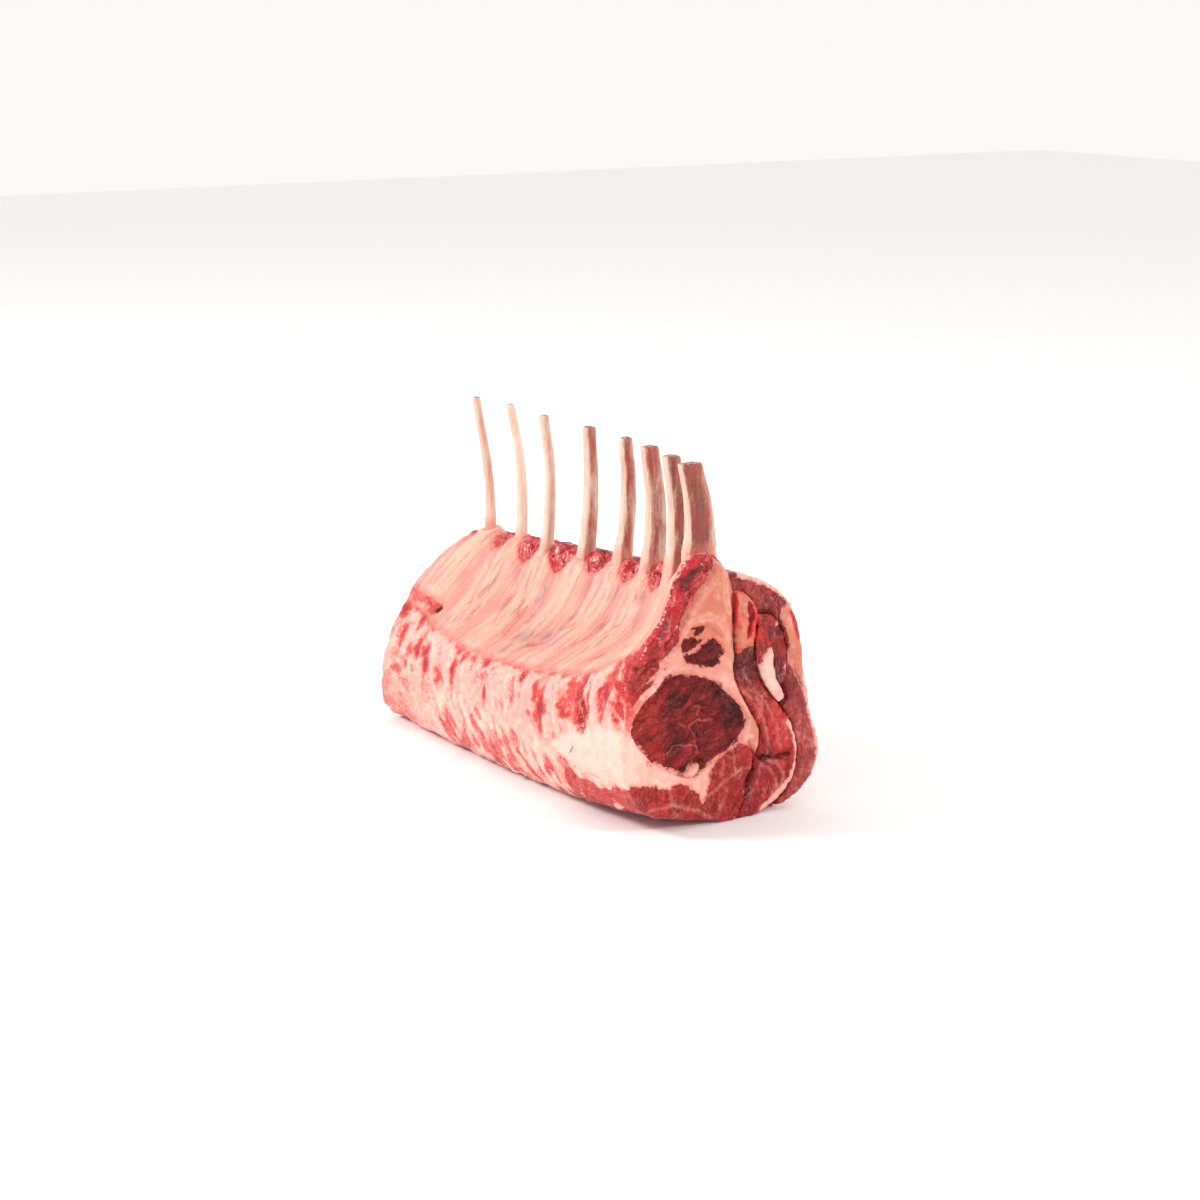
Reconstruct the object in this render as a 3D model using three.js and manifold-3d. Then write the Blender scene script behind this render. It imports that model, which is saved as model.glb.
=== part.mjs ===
// A raw rack of lamb with eight frenched ribs, lying on its flat back-fat side with the ribs up.
// X runs along the rack, with +X at the shoulder end that shows the larger cut face. -Y is the
// chine side with the hollow of the rib cage, +Y the fat cap, and z = 0 the surface it lies on.
import * as THREE from 'three';
import { mergeVertices } from 'three/addons/utils/BufferGeometryUtils.js';
import Module from 'manifold-3d';

const LENGTH = 200;
const SHOULDER_END = LENGTH / 2;
const LOIN_END = -LENGTH / 2;
const GAP = 0.3;
const OVERLAP = 2;
const SECTION_STEP = 14.3;
const CHORD = 4.9;

const RIB_PITCH = 24.5;
const RIB_SIDES = 10;
const RIB_RINGS = 8;
const RIB_SQUARENESS = 0.72;
const RIB_TIP_TAPER = 0.82;
const RIB_ROOT_FLARE = 1.26;

const POCKET_DEPTH = 28;
const LEAF_DEPTH = 24;
const SMALL_MUSCLE_DEPTH = 36;

const manifold = await Module();
manifold.setup();

// Cross sections at five places along the rack, as [y, z] points. The body runs round the sole, the
// chine side, the hollow wall and the brow that the ribs stand in, then down the seam that parts it
// from the side muscle. The side and cap lists run up the outer faces of those two layers.
const SECTIONS = {
  [LOIN_END]: {
    sole: [[-12, -1], [-33, -0.4]],
    chine: [[-46, 3.4], [-49.8, 12], [-48.8, 27], [-44.8, 39.5]],
    wall: [[-40.5, 47], [-33.5, 58], [-23, 67.8], [-13, 74.8]],
    brow: [[-4, 78], [3, 78.5], [8, 75]],
    seam: [[11.5, 66.5], [15, 55], [18.5, 43], [20, 31], [18.5, 15], [9, -1]],
    side: [
      [12.5, -0.6], [17, 2], [21, 8], [23.5, 18], [24, 29.5], [23, 39], [21.5, 46.5], [19, 54.5],
      [16, 62], [13, 69], [10.5, 73.5], [7.5, 76.5],
    ],
    cap: [
      [18, -0.6], [23, 3], [27, 10], [29, 20.5], [29.5, 32], [28, 43], [25, 53.5], [21, 63],
      [16.5, 71], [12, 76.5], [7, 79],
    ],
  },
  [-40]: {
    sole: [[-12, -1], [-34, -0.6]],
    chine: [[-47, 3], [-50.8, 12], [-50.5, 27], [-48.5, 39.5]],
    wall: [[-43, 46], [-30, 51.5], [-15, 62], [-8.3, 73]],
    brow: [[-4.3, 79], [3, 81.5], [8.5, 79.5]],
    seam: [[11.5, 71.5], [15.5, 58.5], [19.5, 45], [21.5, 32], [19, 15], [10, -1]],
    side: [
      [14, -0.6], [19, 2.5], [23.5, 9], [26.5, 19.5], [27.5, 31], [26, 41], [24, 49],
      [21.5, 57], [18, 65.5], [14.5, 73], [11.5, 78.5], [8, 81.5],
    ],
    cap: [
      [19.5, -0.6], [25, 3], [30, 10.5], [32.7, 22], [33, 34.5], [31, 47], [27.5, 58.5],
      [23.5, 68.5], [18.5, 76], [13.5, 81], [8, 83.4],
    ],
  },
  20: {
    sole: [[-12, -1], [-35, 0]],
    chine: [[-48, 4.8], [-51.8, 15], [-52, 31], [-50.8, 44]],
    wall: [[-45, 49.5], [-31, 55], [-15.5, 64], [-7, 75.5]],
    brow: [[-2.6, 82.5], [4, 85], [8.5, 83]],
    seam: [[11, 74], [14.5, 60], [18.5, 46.5], [20.5, 33], [18, 16], [9, -1]],
    side: [
      [13.5, -0.6], [19.5, 3], [25, 10], [28.3, 21], [29, 32], [28, 42], [26, 50.5],
      [23.5, 58.5], [20, 67], [16, 75], [12.5, 81], [8, 85],
    ],
    cap: [
      [20, -0.6], [26.5, 3.5], [32.5, 12], [35, 24], [35, 37], [33, 50], [29.5, 62], [25, 73],
      [19.5, 80.5], [14, 85.6], [8, 87.8],
    ],
  },
  64: {
    sole: [[-13, -1], [-36, 2]],
    chine: [[-48.5, 8], [-52, 19], [-53, 38], [-51, 53]],
    wall: [[-46, 58.5], [-32, 63.5], [-19, 69.5], [-12, 80.5]],
    brow: [[-8.5, 87.5], [-1, 91], [3.5, 88.5]],
    seam: [[5, 77], [8, 61], [12.5, 47], [15, 34], [12.5, 17], [4, -1]],
    side: [
      [8.5, -0.6], [16, 2.5], [24, 9.5], [27.8, 20.5], [28, 32], [26.5, 42], [24, 51], [21, 60],
      [17.5, 69], [13.5, 77], [9, 84], [3.5, 89.5],
    ],
    cap: [
      [18, 0], [27, 3.8], [33.5, 12], [36, 24], [35, 39], [32, 54], [28.5, 67], [23.5, 78],
      [16.5, 86.5], [10, 91], [3.5, 92.5],
    ],
  },
  [SHOULDER_END]: {
    sole: [[-14, 1.7], [-34, 6]],
    chine: [[-46.5, 11.5], [-51.3, 22], [-53.3, 42], [-51.8, 64.5]],
    wall: [[-46.5, 75], [-38.5, 84], [-33, 96], [-27.5, 107]],
    brow: [[-18.5, 108.5], [-10.5, 101.5], [-6.3, 94]],
    seam: [[-5, 76], [-4, 58], [2.5, 44.5], [8.7, 33], [3.5, 17], [-3.5, -1]],
    side: [
      [4, -0.4], [14, 2.6], [24, 9.5], [27.3, 20], [24.5, 33], [18.5, 42.5], [11, 50.5],
      [7, 59], [5.6, 71], [6, 79.5], [2.8, 87.3], [-4, 91.5],
    ],
    cap: [
      [17, 2.4], [26, 5.4], [33.2, 12], [37, 22], [32.5, 37.5], [28.8, 55], [27, 70],
      [22.5, 82.5], [14, 91], [4, 95.5], [-6, 98.6],
    ],
  },
};

// The two muscles inside the body, by the outermost point on each side of a section. Their outline
// is round where pinch is 1 and straight between those points where it is 2.
const EYE_SECTIONS = {
  [LOIN_END]: { left: [-42.5, 26], top: [-14, 54], right: [11.3, 32], bottom: [-17, 8.5], pinch: 1.15 },
  [-40]: { left: [-42.5, 26], top: [-15, 47.3], right: [11, 30], bottom: [-18, 9], pinch: 1.1 },
  20: { left: [-44.5, 29], top: [-17.5, 49.5], right: [8.5, 31], bottom: [-19, 11], pinch: 1.1 },
  64: { left: [-46.5, 33], top: [-22, 54.5], right: [4.5, 35], bottom: [-22, 15.5], pinch: 1.2 },
  [SHOULDER_END]: {
    left: [-50.8, 43], top: [-29.5, 62], right: [1, 39.5], bottom: [-25, 21.7], pinch: 1.35,
  },
};

const SMALL_MUSCLE_SECTIONS = {
  [SHOULDER_END - SMALL_MUSCLE_DEPTH]: {
    left: [-12, 67], top: [-7, 72], right: [-1, 68], bottom: [-7, 63.5], pinch: 1.1,
  },
  [SHOULDER_END]: {
    left: [-29, 70.5], top: [-21.5, 79.3], right: [-9, 69.5], bottom: [-18, 63.3], pinch: 1.1,
  },
};

// The pocket between the side muscle and the cap, and the two leaves of meat that lie in it: the
// middle line of each, as [y, z] from the top down, and its width, at the cut face and deep inside.
const POCKET = {
  depth: POCKET_DEPTH,
  faceLine: [[8.5, 80.5], [12, 70], [13, 58], [19, 42]],
  faceWidth: 15.5,
  deepLine: [[14.2, 74.5], [17.2, 66.5], [19.8, 58], [22.8, 49.5]],
  deepWidth: 2.6,
};

const MIDDLE_LEAF = {
  depth: LEAF_DEPTH,
  faceLine: [[8.8, 75.6], [9.2, 67], [11, 56.5], [18.6, 44.4]],
  faceWidth: 5.8,
  deepLine: [[15.2, 72.5], [17, 66.5], [19.4, 59.5], [22.2, 51.5]],
  deepWidth: 1.2,
};

const OUTER_LEAF = {
  depth: LEAF_DEPTH,
  faceLine: [[13.2, 77.2], [15.8, 69], [16.9, 60], [17.8, 51]],
  faceWidth: 5.8,
  deepLine: [[17.2, 72.5], [18.7, 67], [20.6, 61], [22.6, 55]],
  deepWidth: 1.2,
};

// Each rib from the loin end: its width along the rack and its depth across it at mid height, and
// its centre line as [y, z] from the cut tip down to the root inside the wall.
const RIBS = [
  { width: 3.4, depth: 2.9, line: [[-8.3, 140.6], [-4.3, 119.6], [-1.4, 97], [-1.8, 82], [-4, 66]] },
  { width: 3.6, depth: 3.1, line: [[-5.9, 140.8], [-1.4, 119.9], [-0.1, 101], [-0.6, 84], [-3, 66]] },
  { width: 4, depth: 3.7, line: [[-4.3, 139.1], [-1.3, 118], [-1.1, 104], [-2.5, 88], [-4.4, 67]] },
  { width: 5, depth: 5.4, line: [[2.6, 137.2], [3.6, 114], [2.8, 98], [1.1, 85], [-1.4, 67]] },
  { width: 5, depth: 5.6, line: [[4.3, 136], [6.1, 114], [5.1, 101], [2.8, 87], [0, 68]] },
  { width: 5.8, depth: 7.8, line: [[-0.7, 136.4], [2.7, 113], [2.5, 99], [0.6, 86], [-0.8, 72]] },
  { width: 6.2, depth: 8, line: [[-7.3, 137.1], [-3.8, 120], [-2.9, 105], [-4.4, 89], [-5.8, 76]] },
  { width: 7, depth: 10.8, line: [[-15.6, 138.6], [-11.6, 124], [-10.5, 110], [-11, 99], [-12, 88]] },
];

const FLOOR_DEPTH = 20;

function meatMaterial(colour, roughness) {
  return new THREE.MeshStandardMaterial({ color: colour, roughness, metalness: 0 });
}

const fatMaterial = meatMaterial(0xe6b3a3, 0.42);
const leanMaterial = meatMaterial(0x7e2a2a, 0.38);
const darkLeanMaterial = meatMaterial(0x5a1f22, 0.36);
const sideMaterial = meatMaterial(0x9c4540, 0.4);
const capMaterial = meatMaterial(0xd08f7c, 0.42);
const boneMaterial = meatMaterial(0xe0c3b0, 0.5);

// Shifts a face of one layer into the layer inside it, so that the seam is cut, never left open.
function reachIn(face) {
  return face.map(([y, z]) => [y - OVERLAP, z]);
}

function bodyOutline({ sole, chine, wall, brow, seam }) {
  return [...sole, ...chine, ...wall, ...brow, ...seam];
}

function sideOutline({ seam, side }) {
  return [...reachIn(seam), ...side];
}

function capOutline({ side, cap }) {
  const inner = side.slice(1).reverse();
  return [...reachIn(inner), ...cap];
}

// A muscle's outline: four quarter turns between its outermost points.
function muscleOutline({ left, top, right, bottom, pinch }) {
  const quarter = (from, to, upright) => {
    const middle = Math.SQRT1_2 ** pinch;
    const early = upright ? [1 - middle, middle] : [middle, 1 - middle];
    return [from, from.map((value, axis) => value + (to[axis] - value) * early[axis])];
  };
  return [
    ...quarter(left, top, true),
    ...quarter(top, right, false),
    ...quarter(right, bottom, true),
    ...quarter(bottom, left, false),
  ];
}

// A leaf's outline: a line thickened to its width, with narrow ends.
function leafOutline(line, width) {
  const fullness = [0.5, 1, 0.85, 0.22];
  const edge = (sign) => line.map(([y, z], index) => [y + sign * fullness[index] * width / 2, z]);
  return [...edge(-1), ...edge(1).reverse()];
}

function leafSections(leaf) {
  return {
    [SHOULDER_END - leaf.depth]: leafOutline(leaf.deepLine, leaf.deepWidth),
    [SHOULDER_END]: leafOutline(leaf.faceLine, leaf.faceWidth),
  };
}

function outlines(sections, outlineOf) {
  const entries = Object.entries(sections);
  return Object.fromEntries(entries.map(([place, section]) => [place, outlineOf(section)]));
}

// A ring's points in its own plane: across the rack for a section, from above for a rib.
function flatten(ring) {
  const upright = ring.every((point) => point.x === ring[0].x);
  return ring.map((point) => (
    upright ? new THREE.Vector2(point.y, point.z) : new THREE.Vector2(point.x, point.y)
  ));
}

// Skins rings of points that all have the same count, and closes both ends with flat faces.
function skin(rings) {
  const count = rings[0].length;
  const positions = rings.flat().flatMap((point) => [point.x, point.y, point.z]);
  const faces = [];
  for (let ring = 0; ring < rings.length - 1; ring += 1) {
    for (let side = 0; side < count; side += 1) {
      const here = ring * count + side;
      const beside = ring * count + ((side + 1) % count);
      faces.push(here, beside, here + count);
      faces.push(beside, beside + count, here + count);
    }
  }
  const last = (rings.length - 1) * count;
  const lid = (ring) => THREE.ShapeUtils.triangulateShape(flatten(ring), []);
  lid(rings[0]).forEach(([a, b, c]) => faces.push(a, c, b));
  lid(rings.at(-1)).forEach(([a, b, c]) => faces.push(last + a, last + b, last + c));
  const geometry = new THREE.BufferGeometry();
  geometry.setAttribute('position', new THREE.Float32BufferAttribute(positions, 3));
  geometry.setIndex(faces);
  return geometry;
}

function toSolid(geometry) {
  geometry.deleteAttribute('normal');
  geometry.deleteAttribute('uv');
  const merged = mergeVertices(geometry, 1e-4);
  return new manifold.Manifold(new manifold.Mesh({
    numProp: 3,
    vertProperties: new Float32Array(merged.attributes.position.array),
    triVerts: new Uint32Array(merged.index.array),
  }));
}

// Moves each point of an anticlockwise section outward by the same amount.
function swell(points, amount) {
  return points.map((point, index) => {
    const before = points.at(index - 1);
    const after = points[(index + 1) % points.length];
    const along = after.clone().sub(before).normalize();
    return point.clone().addScaledVector(new THREE.Vector3(0, along.z, -along.y), amount);
  });
}

// The section at x of a table of outlines, evenly spaced along a closed curve, anticlockwise.
function sectionAt(table, x, pointCount) {
  const places = Object.keys(table).map(Number).sort((a, b) => a - b);
  const values = places.flatMap((place) => table[place].flat());
  const between = new THREE.CubicInterpolant(places, values, table[places[0]].length * 2);
  const flat = Array.from(between.evaluate(x));
  const corners = [];
  for (let index = 0; index < flat.length; index += 2) {
    corners.push(new THREE.Vector3(x, flat[index], flat[index + 1]));
  }
  const outline = new THREE.CatmullRomCurve3(corners, true, 'centripetal');
  const points = outline.getSpacedPoints(pointCount).slice(0, -1);
  points.forEach((point) => point.setX(x));
  return THREE.ShapeUtils.isClockWise(flatten(points)) ? points.reverse() : points;
}

// Lofts a table of outlines from its first place to its last, swollen and lengthened by extra.
function loft(table, extra = 0) {
  const places = Object.keys(table).map(Number);
  const start = Math.min(...places);
  const end = Math.max(...places);
  const widest = table[end].map(([y, z]) => new THREE.Vector2(y, z));
  const around = new THREE.SplineCurve([...widest, widest[0]]).getLength();
  const pointCount = Math.round(around / CHORD);
  const steps = Math.round((end - start) / SECTION_STEP);
  const rings = [];
  for (let step = 0; step <= steps; step += 1) {
    const x = THREE.MathUtils.lerp(start, end, step / steps);
    const ring = swell(sectionAt(table, x, pointCount), extra);
    const reach = step === 0 ? -extra : step === steps ? extra : 0;
    ring.forEach((point) => point.setX(x + reach));
    rings.push(ring);
  }
  return toSolid(skin(rings));
}

function bladeSection(rib, scale, extra) {
  const points = [];
  const squared = (value) => Math.sign(value) * Math.abs(value) ** RIB_SQUARENESS;
  for (let side = 0; side < RIB_SIDES; side += 1) {
    const angle = (side + 0.5) * 2 * Math.PI / RIB_SIDES;
    points.push(new THREE.Vector2(
      squared(Math.cos(angle)) * (rib.width * scale / 2 + extra),
      squared(Math.sin(angle)) * (rib.depth * scale / 2 + extra),
    ));
  }
  return points;
}

// A rib: a rounded blade swept up its centre line, wider at the root.
function ribSolid(rib, x, extra = 0) {
  const line = new THREE.CatmullRomCurve3(rib.line.map(([y, z]) => new THREE.Vector3(x, y, z)));
  const rings = [];
  for (let step = 0; step <= RIB_RINGS; step += 1) {
    const share = 1 - step / RIB_RINGS;
    const centre = line.getPointAt(share);
    const scale = THREE.MathUtils.lerp(RIB_TIP_TAPER, RIB_ROOT_FLARE, share);
    const reach = step === 0 ? -extra : step === RIB_RINGS ? extra : 0;
    rings.push(bladeSection(rib, scale, extra).map((point) => (
      new THREE.Vector3(centre.x + point.x, centre.y + point.y, centre.z + reach)
    )));
  }
  return toSolid(skin(rings));
}

function floorBlock() {
  const block = new THREE.BoxGeometry(LENGTH * 1.5, LENGTH, FLOOR_DEPTH);
  block.translate(0, 0, -FLOOR_DEPTH / 2);
  return toSolid(block);
}

// Cuts the tools away from a solid and keeps its largest body.
function cut(solid, ...tools) {
  const left = tools.reduce((kept, tool) => kept.subtract(tool), solid);
  return left.decompose().sort((a, b) => b.volume() - a.volume())[0];
}

function toMesh(name, solid, material) {
  const { vertProperties, triVerts } = solid.getMesh();
  const geometry = new THREE.BufferGeometry();
  geometry.setAttribute('position', new THREE.BufferAttribute(vertProperties, 3));
  geometry.setIndex(new THREE.BufferAttribute(triVerts, 1));
  geometry.computeVertexNormals();
  const mesh = new THREE.Mesh(geometry, material);
  mesh.name = name;
  return mesh;
}

const floor = floorBlock();
const ribPlaces = RIBS.map((_, index) => (index - (RIBS.length - 1) / 2) * RIB_PITCH);
const ribs = RIBS.map((rib, index) => ribSolid(rib, ribPlaces[index]));
const ribSockets = RIBS.map((rib, index) => ribSolid(rib, ribPlaces[index], GAP));

const eyeTable = outlines(EYE_SECTIONS, muscleOutline);
const smallTable = outlines(SMALL_MUSCLE_SECTIONS, muscleOutline);
const bodyTable = outlines(SECTIONS, bodyOutline);
const sideTable = outlines(SECTIONS, sideOutline);
const capTable = outlines(SECTIONS, capOutline);
const middleTable = leafSections(MIDDLE_LEAF);
const outerTable = leafSections(OUTER_LEAF);

const eye = loft(eyeTable);
const smallMuscle = loft(smallTable);
const innerRooms = [loft(eyeTable, GAP), loft(smallTable, GAP)];
const body = cut(loft(bodyTable), floor, ...innerRooms, ...ribSockets);
const bodyRoom = loft(bodyTable, GAP);
const side = cut(loft(sideTable), floor, bodyRoom, ...ribSockets);
const sideRoom = loft(sideTable, GAP);
const middleLeaf = cut(loft(middleTable), sideRoom);
const middleRoom = loft(middleTable, GAP);
const outerLeaf = cut(loft(outerTable), sideRoom, middleRoom);
const outerRoom = loft(outerTable, GAP);
const pocket = loft(leafSections(POCKET), GAP);
const leafRooms = [pocket, middleRoom, outerRoom];
const cap = cut(loft(capTable), floor, bodyRoom, sideRoom, ...leafRooms, ...ribSockets);

const rack = new THREE.Group();
rack.add(
  toMesh('rack_body', body, fatMaterial),
  toMesh('eye_muscle', eye, darkLeanMaterial),
  toMesh('small_muscle', smallMuscle, darkLeanMaterial),
  toMesh('side_muscle', side, sideMaterial),
  toMesh('middle_leaf', middleLeaf, leanMaterial),
  toMesh('outer_leaf', outerLeaf, darkLeanMaterial),
  toMesh('outer_cap', cap, capMaterial),
  ...ribs.map((rib, index) => toMesh(`rib_${index + 1}`, rib, boneMaterial)),
);

export default rack;
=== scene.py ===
import bmesh
import bpy
import numpy as np
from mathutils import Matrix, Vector, noise


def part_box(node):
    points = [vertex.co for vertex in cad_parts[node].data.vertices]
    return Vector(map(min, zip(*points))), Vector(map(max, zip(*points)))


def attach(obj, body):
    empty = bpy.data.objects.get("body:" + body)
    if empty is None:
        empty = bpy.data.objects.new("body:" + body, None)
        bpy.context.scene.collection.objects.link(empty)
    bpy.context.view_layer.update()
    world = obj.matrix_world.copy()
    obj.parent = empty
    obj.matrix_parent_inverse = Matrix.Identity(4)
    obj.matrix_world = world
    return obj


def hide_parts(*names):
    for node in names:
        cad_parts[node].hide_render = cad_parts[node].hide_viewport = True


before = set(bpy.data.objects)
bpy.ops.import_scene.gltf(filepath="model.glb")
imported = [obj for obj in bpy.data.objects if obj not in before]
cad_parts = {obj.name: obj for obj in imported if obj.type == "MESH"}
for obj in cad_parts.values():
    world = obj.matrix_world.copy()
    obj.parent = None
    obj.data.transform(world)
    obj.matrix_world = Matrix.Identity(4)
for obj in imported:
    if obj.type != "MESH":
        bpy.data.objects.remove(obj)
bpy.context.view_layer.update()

# Raw rack of lamb, ribs up. Lengths below are millimetres unless they go straight to Blender.
# +X is the end with the big cut face, -Y the chine side, z = 0 the board it lies on.
halfLength = 100
ribPitch = 24.5
ribPlaces = [(index - 3.5) * ribPitch for index in range(8)]


# ---- points and fields
# a field has one value for each point; where it is a distance it is in millimetres, and one that
# says how far inside something a point lies is negative outside

def smoothLine(points, closed=False, cuts=6):
    # a Catmull-Rom line through the points
    points = np.array(points, float)
    count = len(points)
    spans = count if closed else count - 1
    line = []
    for span in range(spans):
        if closed:
            around = [points[(span + step) % count] for step in (-1, 0, 1, 2)]
        else:
            around = [points[min(max(span + step, 0), count - 1)] for step in (-1, 0, 1, 2)]
        before, start, end, after = around
        for step in range(cuts):
            share = step / cuts
            line.append(0.5 * (
                2 * start + (end - before) * share
                + (2 * before - 5 * start + 4 * end - after) * share ** 2
                + (3 * start - before - 3 * end + after) * share ** 3
            ))
    line.append(points[0] if closed else points[-1])
    return np.array(line)


def awayFrom(line, a, b):
    # distance of each point (a, b) from a line
    best = np.full(len(a), 1e6)
    for start, end in zip(line[:-1], line[1:]):
        along = end - start
        length = max(along @ along, 1e-9)
        share = np.clip(((a - start[0]) * along[0] + (b - start[1]) * along[1]) / length, 0, 1)
        best = np.minimum(best, np.hypot(a - start[0] - share * along[0], b - start[1] - share * along[1]))
    return best


def insideOf(outline, a, b):
    # distance inside a closed outline, negative outside it
    ring = smoothLine(outline, closed=True)
    crossed = np.zeros(len(a), bool)
    for start, end in zip(ring[:-1], ring[1:]):
        if start[1] == end[1]:
            continue
        spans = (start[1] > b) != (end[1] > b)
        crossed ^= spans & (a < start[0] + (b - start[1]) * (end[0] - start[0]) / (end[1] - start[1]))
    away = awayFrom(ring, a, b)
    return np.where(crossed, away, -away)


def nearLines(lines, a, b):
    # distance from the nearest of several lines
    return np.minimum.reduce([awayFrom(smoothLine(line), a, b) for line in lines])


def rise(values, start, end):
    # 0 before start, 1 after end, smooth between
    share = np.clip((values - start) / (end - start), 0, 1)
    return share * share * (3 - 2 * share)


def hump(values, width):
    # 1 at nothing, and falls off to either side
    return np.exp(-(values / width) ** 2)


def dome(inside, width):
    # rises steeply at an outline and levels off width inside it
    return np.sqrt(np.clip(inside / width, 0, 1))


def mix(first, second, share):
    return first * (1 - share) + second * share


def turned(points, axis, angle):
    # the points turned about x or y, for grain that runs aslant
    first, second = {"x": (1, 2), "y": (0, 2)}[axis]
    result = points.copy()
    result[:, first] = points[:, first] * np.cos(angle) + points[:, second] * np.sin(angle)
    result[:, second] = points[:, second] * np.cos(angle) - points[:, first] * np.sin(angle)
    return result


# ---- meshes

def mergedCopy(node):
    # a CAD node's mesh is loose triangles, so they are joined first
    bm = bmesh.new()
    bm.from_mesh(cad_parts[node].data)
    bmesh.ops.remove_doubles(bm, verts=bm.verts, dist=1e-5)
    mesh = bpy.data.meshes.new(node + "_shape")
    bm.to_mesh(mesh)
    bm.free()
    return mesh


def soften(bm, verts, turns):
    for _ in range(turns):
        bmesh.ops.smooth_vert(
            bm, verts=verts, factor=0.5, use_axis_x=True, use_axis_y=True, use_axis_z=True)


def carve(name, node, settings):
    # a new piece from a copy of the node: even small faces, softened, and finer where it matters
    piece = bpy.data.objects.new(name, mergedCopy(node))
    bpy.context.scene.collection.objects.link(piece)
    even = piece.modifiers.new("even", "REMESH")
    even.mode = "VOXEL"
    even.voxel_size = settings["voxel"] / 1000
    graph = bpy.context.evaluated_depsgraph_get()
    shape = bpy.data.meshes.new_from_object(piece.evaluated_get(graph))
    piece.modifiers.clear()
    piece.data = shape
    shape.name = name
    bm = bmesh.new()
    bm.from_mesh(shape)
    reach = (halfLength - settings["crispEnds"]) / 1000
    middle = [v for v in bm.verts if -reach < v.co.x < reach]
    soften(bm, middle, settings["softenSides"])
    # a piece without fineFrom or fineAbove has no such place
    beyond, above = (settings.get(name, 1000) / 1000 for name in ("fineFrom", "fineAbove"))
    edges = [e for e in bm.edges if all(v.co.x > beyond or v.co.z > above for v in e.verts)]
    if edges:
        bmesh.ops.subdivide_edges(bm, edges=edges, cuts=1, use_grid_fill=True)
    soften(bm, bm.verts, settings["softenAll"])
    bm.normal_update()
    bm.to_mesh(shape)
    bm.free()
    shape.shade_smooth()
    return piece


class Clay:
    # the points of a piece in millimetres, to be pushed about and then put back
    def __init__(self, piece):
        self.mesh = piece.data
        self.count = len(self.mesh.vertices)
        self.points = self.read("co") * 1000
        self.normals = self.read("normal")

    def read(self, what):
        flat = np.empty(self.count * 3, np.float32)
        self.mesh.vertices.foreach_get(what, flat)
        return flat.reshape(-1, 3).astype(float)

    def columns(self):
        return self.points.T.copy()

    def lumps(self, size, seed=0, stretch=(1, 1, 1), where=None, points=None):
        # smooth noise from about -1 to 1
        points = self.points if points is None else points
        places = points * np.array(stretch) / size + seed * 7.31
        if where is None:
            return np.array([noise.noise(place) for place in places.tolist()])
        values = np.zeros(self.count)
        chosen = np.flatnonzero(where)
        values[chosen] = [noise.noise(place) for place in places[chosen].tolist()]
        return values

    def crags(self, size, seed=0, stretch=(1, 1, 1), where=None, points=None):
        # rough noise, two sizes together
        return (self.lumps(size, seed, stretch, where, points)
                + 0.5 * self.lumps(size / 2.1, seed + 3, stretch, where, points)) / 1.5

    def push(self, amount):
        # outwards, along each point's own normal
        self.points += self.normals * np.asarray(amount)[:, None]

    def shift(self, x=0, y=0, z=0):
        self.points += np.stack([np.broadcast_to(v, self.count) for v in (x, y, z)], 1)

    def level(self, near, beside, reach=3):
        # brings the softened edge of a seam back out to the cut face
        short = halfLength - self.points[:, 0]
        self.points[:, 0] += near * rise(-beside, -reach, -0.3) * short

    def wander(self, size, amount, seed, where=None):
        # the across and up places, pulled about, for lines that shouldn't look drawn
        def pull(seed):
            small = 0.45 * self.lumps(size / 3.2, seed + 1, where=where)
            return amount * (self.crags(size, seed, where=where) + small)
        return self.points[:, 1] + pull(seed), self.points[:, 2] + pull(seed + 5)

    def spread(self, amount):
        # swells the piece sideways and up, but not along its length
        self.shift(y=amount * self.normals[:, 1], z=amount * self.normals[:, 2])

    def settle(self):
        # nothing goes below the board
        self.points[:, 2] = np.maximum(self.points[:, 2], 0)
        self.keep()

    def keep(self):
        self.mesh.vertices.foreach_set("co", (self.points / 1000).astype(np.float32).ravel())
        self.mesh.update()
        self.normals = self.read("normal")

    def note(self, **fields):
        # leaves values on the mesh for its finish to read
        for name, values in fields.items():
            field = self.mesh.attributes.new(name, "FLOAT", "POINT")
            field.data.foreach_set("value", np.broadcast_to(values, self.count).astype(np.float32))


# ---- shader maths

class Wire:
    # a shader socket that takes part in sums
    def __init__(self, finish, socket):
        self.finish = finish
        self.socket = socket

    def __add__(self, other):
        return self.finish.maths("ADD", self, other)

    def __sub__(self, other):
        return self.finish.maths("SUBTRACT", self, other)

    def __rsub__(self, other):
        return self.finish.maths("SUBTRACT", other, self)

    def __mul__(self, other):
        return self.finish.maths("MULTIPLY", self, other)

    def __abs__(self):
        return self.finish.maths("ABSOLUTE", self)

    __radd__ = __add__
    __rmul__ = __mul__

    def clamped(self):
        return self.finish.add("ShaderNodeClamp", {}, {"Value": self})


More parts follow.
